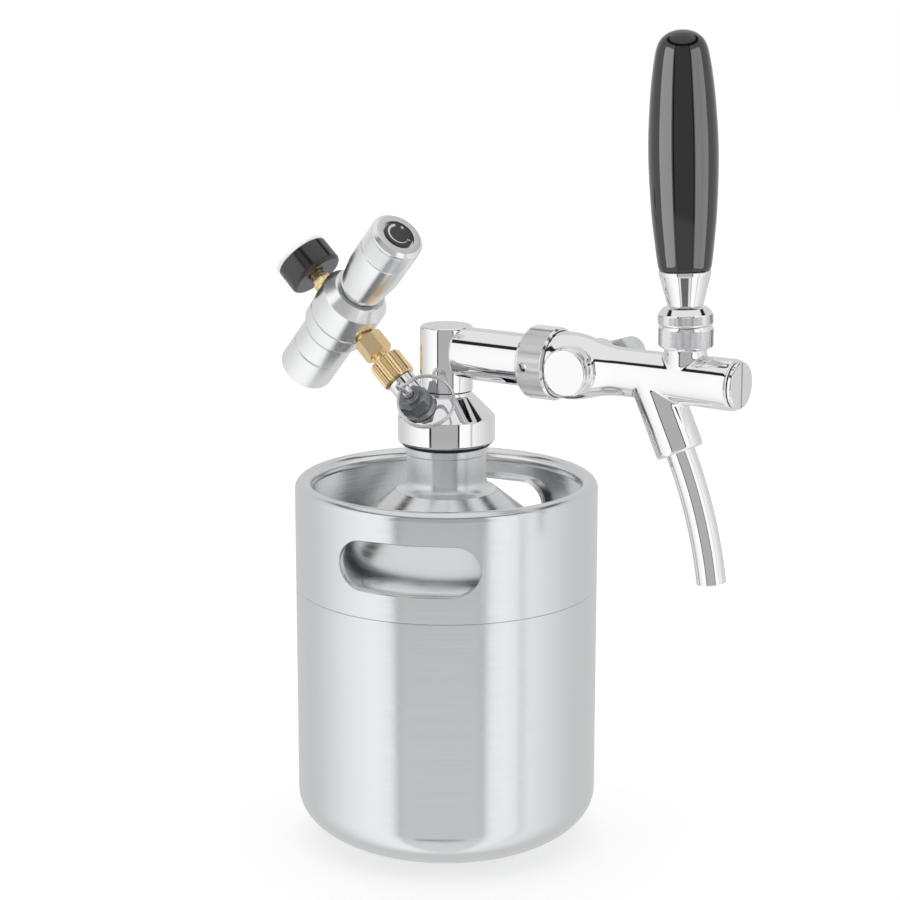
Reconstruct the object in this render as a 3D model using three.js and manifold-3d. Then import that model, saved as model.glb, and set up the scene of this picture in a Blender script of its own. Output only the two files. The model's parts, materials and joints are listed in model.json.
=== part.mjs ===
// Mini keg beer dispenser: a 2 litre steel keg with a screw-on head that carries a flow control tap,
// a relief valve and a small gas regulator with its gauge. Millimetres, +Z up.
// The origin is the centre of the keg's base, and +X runs along the tap's arm.
import * as THREE from "three";
import { mergeVertices } from "three/addons/utils/BufferGeometryUtils.js";
import Module from "manifold-3d";

const wasm = await Module();
wasm.setup();

// Driving dimensions
const gap = 0.3; // between pieces that touch
const overrun = 2; // how far a cutter runs past what it cuts
const weldTolerance = 0.0005;
const sides = { keg: 28, large: 20, medium: 14, small: 12, wire: 6 };

const keg = {
  radius: 65,
  wall: 1.2,
  cornerRun: 33.8, // the rounded foot, measured along the base
  cornerRise: 21.4,
  weldHeight: 113.2,
  rimTop: 159.7,
  rollRadius: 3.7,
  rollTurn: 215, // degrees that the rim curls round
  skirtDepth: 4, // of the dome, inside the lower shell
  domeEdgeRise: 3,
  domeSlope: 40, // degrees, where the dome meets the neck
  domeEdgeReach: 9,
  domeTopReach: 25,
};
const slot = { length: 60, height: 20.8, centre: 135.3, turn: -71.1, hem: 1.2, hemDepth: 4 };
// The neck's and the head's heights are measured from the foot of the neck
const neckFoot = 155.2;
const above = (rise) => neckFoot + rise;
const neck = {
  radius: 17,
  bore: 14.2,
  flareRadius: 21.5,
  flareRise: 5.6,
  flareWall: 1.2,
  beadRadius: 17.8,
  beadBottom: 15.7,
  beadTop: 19.2,
  threadRadius: 16.3,
  top: 22.8,
};
const cap = {
  radius: 20.8,
  bottom: 20.8,
  ringTop: 31.8,
  bevel: 0.8,
  coneTopRadius: 11.9,
  coneTop: 40.9,
  stemRadius: 11,
  stemTop: 42.8,
  threadClearance: 0.5,
  cavityTop: 24.3,
  chamberRadius: 8.5,
  chamberTop: 33.3,
};
const seal = { radius: 19.2 };
const beer = { pipe: 4.5 }; // radius of the way through the head
const dip = { radius: 4, bore: 3, bottom: 5, sealRadius: 8.1, sealHeight: 2 };

const armRise = 59.8;
const shank = { radius: 11, bore: 5, axis: above(armRise), start: 8.9, flangeRadius: 13, flangeWidth: 3 };
const elbowRise = 11; // above the arm's axis
const elbow = { radius: 11.3, top: shank.axis + elbowRise, chamfer: 1.3 };
const collar = {
  radius: 15.2,
  start: 42.5,
  length: 14,
  rearWall: 3.5,
  threadRadius: 14,
  chamfer: 2,
  holeRadius: 1.5,
  holeFromRear: 5,
  holeDepth: 2.5,
};
const washer = { thickness: 2, radius: 12.4 };

const tap = {
  spigotRadius: 13.7,
  ballRadius: 13.9,
  waistRadius: 9.9,
  noseRadius: 10.4,
  noseChamfer: 0.6,
  front: 137.7,
  chamberRadius: 6.5,
  seatStart: 96.5,
  seatRadius: 4.2,
  seatLength: 3,
  guideRadius: 5,
};
// The body's outline: shares of the way from its shoulder to the front, and the radius there
const tapBallShares = [
  [0, 0.985],
  [0.04, 1],
  [0.1, 0.985],
  [0.17, 0.905],
  [0.24, 0.8],
  [0.32, 0.73],
];
const tapWaistShare = 0.44;
const tapNoseShare = 0.925;
const flow = {
  x: 68,
  bossRadius: 10.2,
  bossReach: 14.4,
  shaftRadius: 4,
  crankRadius: 2.6,
  crankThrow: 1.5,
  crankHalfWidth: 6.8,
  capRadius: 9.7,
  capThickness: 1.6,
  capSpigot: 7,
  capSpigotDepth: 2.5,
  leverHub: 7.6,
  leverThickness: 4.4,
  leverLength: 14,
  leverTip: 6.5,
  leverRise: 6,
  shaftEnd: 20.4,
};
const plug = {
  noseStart: 55.2,
  noseRadius: 1.2,
  coneEnd: 61,
  coneRadius: 4.4,
  stemRadius: 2.6,
  forkStart: 62.2,
  forkHalfWidth: 3,
  forkBottom: 5.4,
  forkTop: 4.9,
  slack: 0.65,
  floor: 1.4,
};

const bossRise = 13; // above the arm's axis
const boss = { radius: 8.6, top: shank.axis + bossRise, sleeveRadius: 7.5, sleeveRise: 5, bore: 5.5 };
const pivotRise = 2; // above the boss
const pivot = { x: 114.6, z: boss.top + pivotRise, lean: -2.2 };
const ball = { radius: 5.2, stemRadius: 2.7, stemTop: 34, fingerRadius: 1.6, fingerBall: 2.4 };
const swing = { forward: 35, slotHalfWidth: 3.3 };
const bonnet = { radius: 11, height: 8, ceiling: 1.6 };
const lockRing = { lift: 0.9, crown: 1, bevel: 1.2 };
const ferrule = { bottomRadius: 7.1, topRadius: 10.4, top: 28.7, lip: 1.4 };
const grip = { bottom: 29, top: 122.4, radius: 13.8, holeDepth: 6 };
// The grip's outline: share of its length, share of its largest radius
const gripShares = [
  [0, 0.75],
  [0.03, 0.775],
  [0.09, 0.83],
  [0.26, 0.945],
  [0.5, 1],
  [0.72, 0.92],
  [0.88, 0.79],
  [0.95, 0.64],
  [0.985, 0.4],
];
const valve = {
  washerRadius: 5.2,
  washerThickness: 1.5,
  headRadius: 5.7,
  headLength: 2.6,
  rodRadius: 2.6,
  blockBefore: 4.6, // of the notch's middle
  blockAfter: 11.8,
  blockRadius: 4.6,
  notchHalf: 3.1,
  notchHalfWidth: 2.8,
  notchFloor: 2.8,
  ringWidth: 1.5,
  ringRadius: 4.75,
};
const endCap = {
  radius: 9.5,
  thickness: 1.9,
  plugRadius: 7,
  plugLength: 7.4,
  slotWidth: 1.2,
  slotDepth: 1,
};
const spout = {
  start: 99.6, // where the socket's axis meets the tap's
  tilt: 24.6,
  socketRadius: 9.8,
  socketLength: 33,
  socketChamfer: 0.8,
  passage: 4.5,
  tubeRadius: 6,
  tubeBore: 5.2,
  tubeFrom: 20.5,
  sealWidth: 1.6,
  endX: 128.6,
  endDrop: 82, // below the arm's axis
  endTilt: 8,
  bendStart: 16,
  bendEnd: 20,
  steps: 8,
};

const port = {
  origin: 21.8, // height at which the ports' axes meet the keg's axis
  tilt: 46,
  inletAzimuth: 181.3,
  reliefAzimuth: -99,
  drill: 2,
  drillFrom: 7,
  spigotRadius: 4,
  spigotFrom: 17.5,
  faceFrom: 20.8,
  faceRadius: 7.4,
};
const inlet = { radius: 6.2, shoulder: 32.4, threadRadius: 5, threadTop: 37, bore: 1.5 };
const gasNut = { radius: 7.5, bottom: 32.7, top: 44.4, shoulder: 39.5, throat: 3.5, chamfer: 0.7 };
const fitting = {
  neckRadius: 3.2,
  flangeRadius: 5,
  flangeFrom: 37.4,
  flangeTo: 39.2,
  hexAcross: 11.3,
  hexFrom: 47,
  hexTo: 57.2,
  spigotRadius: 4.2,
  spigotTo: 61.4,
};
const regulator = {
  at: 72.4, // distance along the gas line
  swivel: -12.8,
  radius: 14.9,
  shoulder: 10,
  faceAt: 15,
  faceRadius: 11.6,
  bottom: -14,
  sleeveBore: 10.3,
  sleeveBoreTop: -7.7,
  sidePort: 4.5,
  sidePortDepth: 9,
  passage: 1.5,
  springBore: 5.6,
  springFloor: 5,
  bonnetRadius: 7.7,
  bonnetTop: 32,
};
const socket = {
  radius: 12.3,
  bottom: -41.8,
  spigotRadius: 10,
  spigotTop: -8,
  bore: 9.8,
  boreTop: -20,
  threadBore: 4.8,
  groove: 0.4,
  grooveWidth: 0.6,
  grooveAt: -29,
  chamfer: 0.8,
};
const pin = { radius: 4.4, from: -12.5, to: -10.4, tipRadius: 0.8, tip: -16 };
const knob = {
  bottom: 16.8,
  top: 53.1,
  bottomRadius: 9.9,
  topRadius: 11.8,
  chamfer: 1.6,
  cavityRadius: 8.1,
  cavityTop: 46.5,
  screwRadius: 3,
  screwBottom: 25,
  recessRadius: 7.2,
  recessDepth: 1.4,
};
const badge = { radius: 6.9, thickness: 1.3 };
const spring = { radius: 4.2, wire: 1.2, turns: 4, plateRadius: 5.2, plateFrom: 22.2, plateTo: 24.4 };
const gauge = {
  hexAcross: 8,
  hexTo: 91.4,
  neckRadius: 3,
  back: 92.8,
  front: 105.2,
  radius: 12.4,
  wall: 1.3,
  backEdge: 1.6,
  dialAt: 100.4,
  dialThickness: 0.8,
  needleAt: 101.6,
  needleThickness: 0.5,
  needleLength: 8.6,
  needleTail: 3,
  needleHalfWidth: 0.5,
  needleRest: -135, // degrees from the dial's Y to the needle at zero
  hubRadius: 1.2,
  lensFrom: 103,
  lensLip: 1.2,
  lensDome: 0.9,
};
const relief = {
  flangeRadius: 7,
  flangeTop: 23.8,
  hexAcross: 12,
  hexTop: 30,
  collarRadius: 4.4,
  collarTop: 31.6,
  bore: 3.9,
  boreFrom: 20,
  boreTo: 30,
  stemRadius: 1.9,
  discRadius: 3.6,
  discFrom: 20.4,
  discTo: 21.8,
  stemTop: 33.6,
  eyeAt: 36.2,
  eyeRadius: 3.8,
  eyeHalfWidth: 1.2,
  eyeHole: 2.4,
  eyeTurn: 85, // degrees that the eye is turned about the stem
  springRadius: 3,
  springWire: 0.7,
  springTurns: 4,
};
const ring = {
  radius: 11.7,
  wire: 1.1,
  pitch: 1.6,
  turns: 2,
  steps: 24,
  slack: 0.6, // how far the wire lies from the middle of the eye
  hang: 30, // degrees that the ring swings down about the eye
};

// Shape helpers
const degrees = THREE.MathUtils.degToRad;
const quarter = Math.PI / 2;
const point = (r, z) => new THREE.Vector2(r, z);

function arc(centreR, centreZ, radiusR, radiusZ, from, to, steps) {
  return Array.from({ length: steps + 1 }, (_, i) => {
    const angle = degrees(from + ((to - from) * i) / steps);
    return point(centreR + radiusR * Math.cos(angle), centreZ + radiusZ * Math.sin(angle));
  });
}

// The profile moved sideways by the wall, to the right of its direction of travel
function offset(points, wall) {
  return points.map((p, i) => {
    const before = points[Math.max(i - 1, 0)];
    const after = points[Math.min(i + 1, points.length - 1)];
    const along = after.clone().sub(before).normalize();
    return point(p.x - along.y * wall, p.y + along.x * wall);
  });
}

function solidOf(geometry) {
  const bare = geometry.index ? geometry.toNonIndexed() : geometry.clone();
  bare.deleteAttribute("normal");
  bare.deleteAttribute("uv");
  const merged = mergeVertices(bare, weldTolerance);
  const faces = [];
  const index = merged.index.array;
  for (let i = 0; i < index.length; i += 3) {
    const [a, b, c] = [index[i], index[i + 1], index[i + 2]];
    if (a !== b && b !== c && c !== a) faces.push(a, b, c);
  }
  return new wasm.Manifold(
    new wasm.Mesh({
      numProp: 3,
      vertProperties: merged.attributes.position.array,
      triVerts: new Uint32Array(faces),
    }),
  );
}

function geometryOf(solid) {
  const mesh = solid.getMesh();
  const positions = new Float32Array(mesh.numVert * 3);
  for (let i = 0; i < mesh.numVert; i++) {
    const start = i * mesh.numProp;
    positions.set(mesh.vertProperties.subarray(start, start + 3), i * 3);
  }
  return new THREE.BufferGeometry()
    .setAttribute("position", new THREE.BufferAttribute(positions, 3))
    .setIndex(new THREE.BufferAttribute(new Uint32Array(mesh.triVerts), 1));
}

const cut = (body, ...tools) =>
  geometryOf(tools.reduce((solid, tool) => solid.subtract(solidOf(tool)), solidOf(body)));
const join = (body, ...others) =>
  geometryOf(others.reduce((solid, other) => solid.add(solidOf(other)), solidOf(body)));
const common = (a, b) => geometryOf(solidOf(a).intersect(solidOf(b)));

// A closed profile of radius and height, turned about Z
function turned(profile, count) {
  const first = profile[0];
  const last = profile[profile.length - 1];
  const onAxis = first.x === 0 && last.x === 0;
  const points = onAxis ? profile : [...profile, first.clone()];
  const lathe = new THREE.LatheGeometry(points, count).rotateX(quarter);
  return geometryOf(solidOf(lathe));
}

const rod = (radius, from, to, count = sides.small) =>
  turned([point(0, from), point(radius, from), point(radius, to), point(0, to)], count);
const pipe = (bore, radius, from, to, count = sides.small) =>
  turned([point(bore, from), point(radius, from), point(radius, to), point(bore, to)], count);
const alongX = (geometry) => geometry.rotateY(quarter);
const alongY = (geometry) => geometry.rotateX(-quarter);

// A flat outline of x and z, given a thickness in y
function plate(outline, halfWidth) {
  const shape = new THREE.Shape(outline.map(([x, z]) => point(x, z)));
  return new THREE.ExtrudeGeometry(shape, { depth: 2 * halfWidth, bevelEnabled: false, curveSegments: 6 })
    .rotateX(quarter)
    .translate(0, halfWidth, 0);
}

// A hexagon bar with its corners turned off at both ends
function hexBar(across, from, to) {
  const corner = across / Math.sqrt(3);
  const bevel = corner - across / 2;
  const bar = new THREE.CylinderGeometry(corner, corner, to - from, 6)
    .rotateX(quarter)
    .translate(0, 0, (from + to) / 2);
  const envelope = turned(
    [
      point(0, from),
      point(across / 2, from),
      point(corner, from + bevel),
      point(corner, to - bevel),
      point(across / 2, to),
      point(0, to),
    ],
    sides.medium,
  );
  return common(bar, envelope);
}

class Helix extends THREE.Curve {
  constructor(radius, pitch, turns, start) {
    super();
    Object.assign(this, { radius, pitch, turns, start });
  }
  getPoint(t, target = new THREE.Vector3()) {
    const angle = 2 * Math.PI * this.turns * t;
    return target.set(
      this.radius * Math.cos(angle),
      this.radius * Math.sin(angle),
      this.start + this.pitch * this.turns * t,
    );
  }
}

function wireAlong(path, diameter, steps, count = sides.wire) {
  const section = new THREE.Shape(
    Array.from({ length: count }, (_, i) => {
      const angle = (2 * Math.PI * i) / count;
      return point((diameter / 2) * Math.cos(angle), (diameter / 2) * Math.sin(angle));
    }),
  );
  return new THREE.ExtrudeGeometry(section, { steps, extrudePath: path, bevelEnabled: false });
}

// The least distance between one turn of a winding and the next, less the wire
function leastGap(path, diameter, steps, turns) {
  const points = path.getSpacedPoints(steps);
  const away = Math.floor((steps / turns) * 0.75);
  let least = Infinity;
  points.forEach((a, i) =>
    points.slice(i + away).forEach((b) => {
      least = Math.min(least, a.distanceTo(b));
    }),
  );
  return least - diameter;
}

// Finishes
const finishes = {
  brushedSteel: { color: 0xc9ccce, roughness: 0.38, metalness: 1 },
  chrome: { color: 0xe9ebee, roughness: 0.06, metalness: 1 },
  steel: { color: 0xb9bcc0, roughness: 0.25, metalness: 1 },
  satinAluminium: { color: 0xd4d6d8, roughness: 0.35, metalness: 1 },
  brass: { color: 0xd2a24c, roughness: 0.25, metalness: 1 },
  rubber: { color: 0x1b1b1c, roughness: 0.8, metalness: 0 },
  blackGloss: { color: 0x0c0c0d, roughness: 0.12, metalness: 0 },
  blackPlastic: { color: 0x17181a, roughness: 0.3, metalness: 0 },
  whiteEnamel: { color: 0xf4f4f2, roughness: 0.5, metalness: 0 },
  clear: { color: 0xf2f5f6, roughness: 0.05, metalness: 0, transparent: true, opacity: 0.4 },
  darkSteel: { color: 0x85898d, roughness: 0.3, metalness: 1 },
};

const dispenser = new THREE.Group();
function piece(name, geometry, finish, parent = dispenser) {
  const mesh = new THREE.Mesh(geometry, new THREE.MeshStandardMaterial(finishes[finish]));
  mesh.name = name;
  parent.add(mesh);
  return mesh;
}

// The frame of a port: its own Z is the port's axis, and its X lies in the upright plane
function portFrame(azimuth) {
  const frame = new THREE.Group();
  frame.position.z = above(port.origin);
  frame.rotation.set(0, degrees(port.tilt), degrees(azimuth), "ZYX");
  dispenser.add(frame);
  frame.updateMatrixWorld(true);
  return frame;
}
const inletFrame = portFrame(port.inletAzimuth);
const reliefFrame = portFrame(port.reliefAzimuth);
const placed = (geometry, frame) => geometry.applyMatrix4(frame.matrixWorld);

// Keg
function kegShell() {
  const foot = keg.radius - keg.cornerRun;
  const top = keg.weldHeight - gap / 2;
  const inner = keg.radius - keg.wall;
  return turned(
    [
      point(0, 0),
      ...arc(foot, keg.cornerRise, keg.cornerRun, keg.cornerRise, -90, 0, 5),
      point(keg.radius, top),
      point(inner, top),
      ...arc(foot, keg.cornerRise, keg.cornerRun - keg.wall, keg.cornerRise - keg.wall, 0, -90, 4),
      point(0, keg.wall),
    ],
    sides.keg,
  );
}

function kegDome() {
  const edge = keg.radius - keg.wall - gap;
  const edgeHeight = keg.weldHeight + keg.domeEdgeRise;
  const mouth = point(neck.flareRadius + gap, neckFoot - gap);
  const slope = degrees(keg.domeSlope);
  const curve = new THREE.CubicBezierCurve(
    point(edge, edgeHeight),
    point(edge, edgeHeight + keg.domeEdgeReach),
    point(mouth.x + keg.domeTopReach * Math.cos(slope), mouth.y - keg.domeTopReach * Math.sin(slope)),
    mouth,
  );
  const outer = [point(edge, keg.weldHeight - keg.skirtDepth), ...curve.getPoints(5)];
  return turned([...outer, ...offset(outer, keg.wall).reverse()], sides.keg);
}

// A slot's outline with round ends, as a bar that points outwards from the keg's axis
function slotBar(grow, turn) {
  const half = slot.height / 2 + grow;
  const run = slot.length / 2 - slot.height / 2;
  const outline = [...arc(run, 0, half, half, -90, 90, 5), ...arc(-run, 0, half, half, 90, 270, 5)];
  const shape = new THREE.Shape(outline);
  return new THREE.ExtrudeGeometry(shape, { depth: keg.radius + overrun, bevelEnabled: false })
    .rotateX(quarter)
    .rotateZ(degrees(turn + 90))
    .translate(0, 0, slot.centre);
}

function kegChime() {
  const bottom = keg.weldHeight + gap / 2;
  const centre = keg.radius - keg.rollRadius;
  const height = keg.rimTop - keg.rollRadius;
  const inside = keg.rollRadius - keg.wall;
  const wall = turned(
    [
      point(keg.radius, bottom),
      ...arc(centre, height, keg.rollRadius, keg.rollRadius, 0, keg.rollTurn, 5),
      ...arc(centre, height, inside, inside, keg.rollTurn, 0, 3),
      point(keg.radius - keg.wall, bottom),
    ],
    sides.keg,
  );
  const turns = [slot.turn, slot.turn + 180];
  const band = pipe(
    keg.radius - keg.wall - slot.hemDepth,
    keg.radius - keg.wall / 2,
    slot.centre - slot.height,
    slot.centre + slot.height,
    sides.keg,
  );
  const hems = turns.map((turn) => common(band, cut(slotBar(slot.hem, turn), slotBar(0, turn))));
  const pierced = cut(wall, ...turns.map((turn) => slotBar(slot.hem / 2, turn)));
  return join(pierced, ...hems);
}

function kegNeck() {
  const flareTop = neckFoot + neck.flareRise;
  const flare = new THREE.QuadraticBezierCurve(
    point(neck.flareRadius, neckFoot),
    point(neck.radius, neckFoot + neck.flareRise / 3),
    point(neck.radius, flareTop),
  );
  return turned(
    [
      point(neck.bore, neckFoot + neck.flareRise / 2),
      point(neck.flareRadius - neck.flareWall / 2, neckFoot - neck.flareWall),
      ...flare.getPoints(3),
      point(neck.radius, above(neck.beadBottom)),
      point(neck.beadRadius, above(neck.beadBottom) + gap),
      point(neck.beadRadius, above(neck.beadTop) - gap),
      point(neck.radius, above(neck.beadTop)),
      point(neck.threadRadius, above(neck.beadTop)),
      point(neck.threadRadius, above(neck.top)),
      point(neck.bore, above(neck.top)),
    ],
    sides.large,
  );
}

piece("keg_shell", kegShell(), "brushedSteel");
piece("keg_dome", kegDome(), "brushedSteel");
piece("keg_chime", kegChime(), "brushedSteel");
piece("keg_neck", kegNeck(), "steel");

// Head: seal, cap, elbow and dip tube
piece(
  "neck_seal",
  pipe(neck.threadRadius + gap, seal.radius, above(neck.beadTop) + gap, above(cap.bottom) - gap, sides.large),
  "rubber",
);

function portCutters(frame) {
  const cutters = [
    rod(port.drill, port.drillFrom, port.spigotFrom, sides.small),
    rod(port.spigotRadius + gap, port.spigotFrom - gap, port.faceFrom + overrun),
    rod(port.faceRadius, port.faceFrom, port.faceFrom + cap.radius, sides.medium),
  ];
  return cutters.map((cutter) => placed(cutter, frame));
}

function dispenserCap() {
  const bore = neck.threadRadius + cap.threadClearance;
  const body = turned(
    [
      point(bore, above(cap.bottom)),
      point(cap.radius - cap.bevel, above(cap.bottom)),
      point(cap.radius, above(cap.bottom) + cap.bevel),
      point(cap.radius, above(cap.ringTop)),
      point(cap.radius - cap.bevel, above(cap.ringTop) + cap.bevel),
      point(cap.coneTopRadius, above(cap.coneTop)),
      point(cap.stemRadius, above(cap.coneTop) + gap),
      point(cap.stemRadius, above(cap.stemTop)),
      point(beer.pipe, above(cap.stemTop)),
      point(beer.pipe, above(cap.chamberTop)),
      point(cap.chamberRadius, above(cap.chamberTop)),
      point(cap.chamberRadius, above(cap.cavityTop)),
      point(bore, above(cap.cavityTop)),
    ],
    sides.large,
  );
  return cut(body, ...portCutters(inletFrame), ...portCutters(reliefFrame));
}
piece("dispenser_cap", dispenserCap(), "chrome");

function elbowBody() {
  const body = turned(
    [
      point(beer.pipe, above(cap.stemTop) + gap),
      point(elbow.radius, above(cap.stemTop) + gap),
      point(elbow.radius, elbow.top - elbow.chamfer),
      point(elbow.radius - elbow.chamfer, elbow.top),
      point(0, elbow.top),
      point(0, shank.axis + beer.pipe),
      point(beer.pipe, shank.axis),
    ],
    sides.large,
  );
  return cut(body, alongX(rod(shank.bore, 0, elbow.radius + overrun)).translate(0, 0, shank.axis));
}
piece("elbow", elbowBody(), "chrome");
piece("dip_tube", pipe(dip.bore, dip.radius, dip.bottom, above(cap.stemTop) - gap), "steel");
const sealTop = above(cap.chamberTop) - gap;
piece(
  "dip_tube_seal",
  pipe(dip.radius + gap, dip.sealRadius, sealTop - dip.sealHeight, sealTop, sides.medium),
  "rubber",
);

// Tap arm: shank, washer and collar nut
function shankTube() {
  const end = collar.start + collar.rearWall + gap + shank.flangeWidth;
  const profile = [
    point(shank.bore, shank.start),
    point(shank.radius, shank.start),
    point(shank.radius, end - shank.flangeWidth),
    point(shank.flangeRadius, end - shank.flangeWidth),
    point(shank.flangeRadius, end),
    point(shank.bore, end),
  ];
  const tube = alongX(turned(profile, sides.large)).translate(0, 0, shank.axis);
  const saddle = rod(elbow.radius + gap, shank.axis - 2 * shank.radius, elbow.top + overrun, sides.large);
  return cut(tube, saddle);
}
piece("shank_tube", shankTube(), "chrome");

const washerStart = collar.start + collar.rearWall + shank.flangeWidth + 2 * gap;
const tapStart = washerStart + washer.thickness + gap;
const washerEnd = washerStart + washer.thickness;
piece(
  "shank_washer",
  alongX(pipe(shank.bore, washer.radius, washerStart, washerEnd, sides.medium)).translate(0, 0, shank.axis),
  "rubber",
);

function collarNut() {
  const end = collar.start + collar.length;
  const shoulder = collar.start + collar.rearWall;
  const body = turned(
    [
      point(shank.radius + gap, collar.start),
      point(collar.radius - collar.chamfer, collar.start),
      point(collar.radius, collar.start + collar.chamfer),
      point(collar.radius, end - collar.chamfer / 2),
      point(collar.radius - collar.chamfer / 2, end),
      point(collar.threadRadius, end),
      point(collar.threadRadius, shoulder),
      point(shank.radius + gap, shoulder),
    ],
    sides.large,
  );
  const hole = alongY(rod(collar.holeRadius, -collar.radius - overrun, collar.holeDepth - collar.radius));
  return cut(
    alongX(body).translate(0, 0, shank.axis),
    hole.translate(collar.start + collar.holeFromRear, 0, shank.axis),
  );
}
piece("collar_nut", collarNut(), "chrome");

// Tap body: one casting with its bores
const spoutFrame = new THREE.Group();
spoutFrame.position.set(spout.start, 0, shank.axis);
spoutFrame.rotation.y = degrees(180 - spout.tilt);
spoutFrame.updateMatrixWorld(true);

function tapOutline() {
  const shoulder = collar.start + collar.length + 2 * gap;
  const length = tap.front - shoulder;
  const along = (share) => shoulder + share * length;
  return [
    point(0, tapStart),
    point(tap.spigotRadius, tapStart),
    point(tap.spigotRadius, shoulder),
    ...tapBallShares.map(([at, share]) => point(share * tap.ballRadius, along(at))),
    point(tap.waistRadius, along(tapWaistShare)),
    point(tap.noseRadius, along(tapNoseShare)),
    point(tap.noseRadius, tap.front - tap.noseChamfer),
    point(tap.noseRadius - tap.noseChamfer, tap.front),
    point(0, tap.front),
  ];
}

// The room that the lever's finger sweeps, seen from the side
function fingerRoom() {
  const reach = pivot.z - shank.axis;
  const angle = degrees(swing.forward + pivot.lean);
  const wide = ball.fingerBall + 2 * gap;
  const outline = [
    [wide + gap, -reach - tap.guideRadius + gap],
    [wide + gap, 0],
    [-wide, 0],
    [-reach * Math.sin(angle) - wide - gap, -reach * Math.cos(angle)],
    [-reach * Math.sin(angle) - wide, -reach - tap.guideRadius + gap],
  ];
  return plate(outline, ball.fingerBall + gap).translate(pivot.x, 0, pivot.z);
}

const sleeveTop = boss.top + boss.sleeveRise;
function tapBody() {
  const axis = (geometry) => alongX(geometry).translate(0, 0, shank.axis);
  const crossing = (geometry) => alongY(geometry).translate(flow.x, 0, shank.axis);
  const crossBoss = crossing(rod(flow.bossRadius, -flow.bossReach, flow.bossReach, sides.medium));
  const handleBoss = turned(
    [
      point(0, 0),
      point(boss.radius, 0),
      point(boss.radius, boss.top - shank.axis),
      point(boss.sleeveRadius, boss.top - shank.axis),
      point(boss.sleeveRadius, sleeveTop - shank.axis),
      point(0, sleeveTop - shank.axis),
    ],
    sides.medium,
  );
  const socketBody = turned(
    [
      point(0, 0),
      point(spout.socketRadius, 0),
      point(spout.socketRadius, spout.socketLength - spout.socketChamfer),
      point(spout.socketRadius - spout.socketChamfer, spout.socketLength),
      point(0, spout.socketLength),
    ],
    sides.medium,
  );
  const body = join(
    axis(turned(tapOutline(), sides.large)),
    crossBoss,
    handleBoss.translate(pivot.x, 0, shank.axis),
    placed(socketBody, spoutFrame),
  );
  const plugBore = tap.front - endCap.plugLength - gap;
  const seatEnd = tap.seatStart + tap.seatLength;
  const recessFloor = flow.capSpigotDepth - flow.bossReach;
  const tubeRoom = spout.tubeFrom - gap - spout.sealWidth;
  return cut(
    body,
    axis(rod(tap.chamberRadius, tapStart - overrun, tap.seatStart)),
    axis(rod(tap.seatRadius, tap.seatStart - overrun, seatEnd + overrun)),
    axis(rod(tap.guideRadius, seatEnd, plugBore + overrun)),
    axis(rod(endCap.plugRadius + gap, plugBore, tap.front + overrun)),
    crossing(rod(flow.shaftRadius + gap, -flow.crankHalfWidth, flow.bossReach + overrun)),
    crossing(rod(flow.capSpigot + gap, -flow.bossReach - overrun, recessFloor)),
    crossing(rod(flow.shaftRadius + gap, recessFloor - overrun, overrun - flow.crankHalfWidth)),
    rod(boss.bore, shank.axis, sleeveTop + overrun, sides.medium).translate(pivot.x, 0, 0),
    fingerRoom(),
    placed(rod(spout.passage, 0, spout.tubeFrom), spoutFrame),
    placed(rod(spout.tubeRadius + gap, tubeRoom, spout.socketLength + overrun), spoutFrame),
  );
}
piece("tap_body", tapBody(), "chrome");

// Flow control: cross shaft with a crank, its lever, the cone plug it moves and the blind cap
function flowShaft() {
  const end = flow.capSpigotDepth - flow.bossReach + gap;
  const reach = flow.crankHalfWidth + gap;
  return join(
    alongY(rod(flow.shaftRadius, end, -flow.crankHalfWidth)),
    alongY(rod(flow.crankRadius, -reach, reach)).translate(0, 0, flow.crankThrow),
    alongY(rod(flow.shaftRadius, flow.crankHalfWidth, flow.shaftEnd)),
  ).translate(flow.x, 0, shank.axis);
}
piece("flow_shaft", flowShaft(), "steel");

function flowLever() {
  const inner = flow.bossReach + gap;
  const outer = inner + flow.leverThickness;
  const hub = rod(flow.leverHub, inner, outer, sides.medium);
  const tip = rod(flow.leverTip, inner, outer, sides.medium).translate(flow.leverLength, -flow.leverRise, 0);
  const arm = new THREE.Shape([
    point(0, -flow.leverHub),
    point(flow.leverLength, -flow.leverRise - flow.leverTip),
    point(flow.leverLength, -flow.leverRise + flow.leverTip),
    point(0, flow.leverHub),
  ]);
  const bar = new THREE.ExtrudeGeometry(arm, { depth: flow.leverThickness, bevelEnabled: false });
  const body = join(hub, tip, bar.translate(0, 0, inner));
  const hole = rod(flow.shaftRadius + gap, inner - overrun, flow.shaftEnd + overrun);
  return alongY(cut(body, hole)).translate(flow.x, 0, shank.axis);
}
piece("flow_lever", flowLever(), "chrome");

function flowPlug() {
  const nose = turned(
    [
      point(0, plug.noseStart),
      point(plug.noseRadius, plug.noseStart),
      point(plug.coneRadius, plug.coneEnd),
      point(plug.stemRadius, plug.coneEnd + gap),
      point(plug.stemRadius, plug.forkStart + gap),
      point(0, plug.forkStart + gap),
    ],
    sides.small,
  );
  const reach = flow.x - plug.forkStart;
  const half = flow.crankRadius + plug.slack;
  const fork = plate(
    [
      [plug.forkStart, -plug.forkBottom],
      [flow.x + reach, -plug.forkBottom],
      [flow.x + reach, plug.forkTop],
      [flow.x + half, plug.forkTop],
      [flow.x + half, plug.floor - plug.forkBottom],
      [flow.x - half, plug.floor - plug.forkBottom],
      [flow.x - half, plug.forkTop],
      [plug.forkStart, plug.forkTop],
    ],
    plug.forkHalfWidth,
  );
  return join(alongX(nose), fork).translate(0, 0, shank.axis);
}
piece("flow_plug", flowPlug(), "steel");

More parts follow.
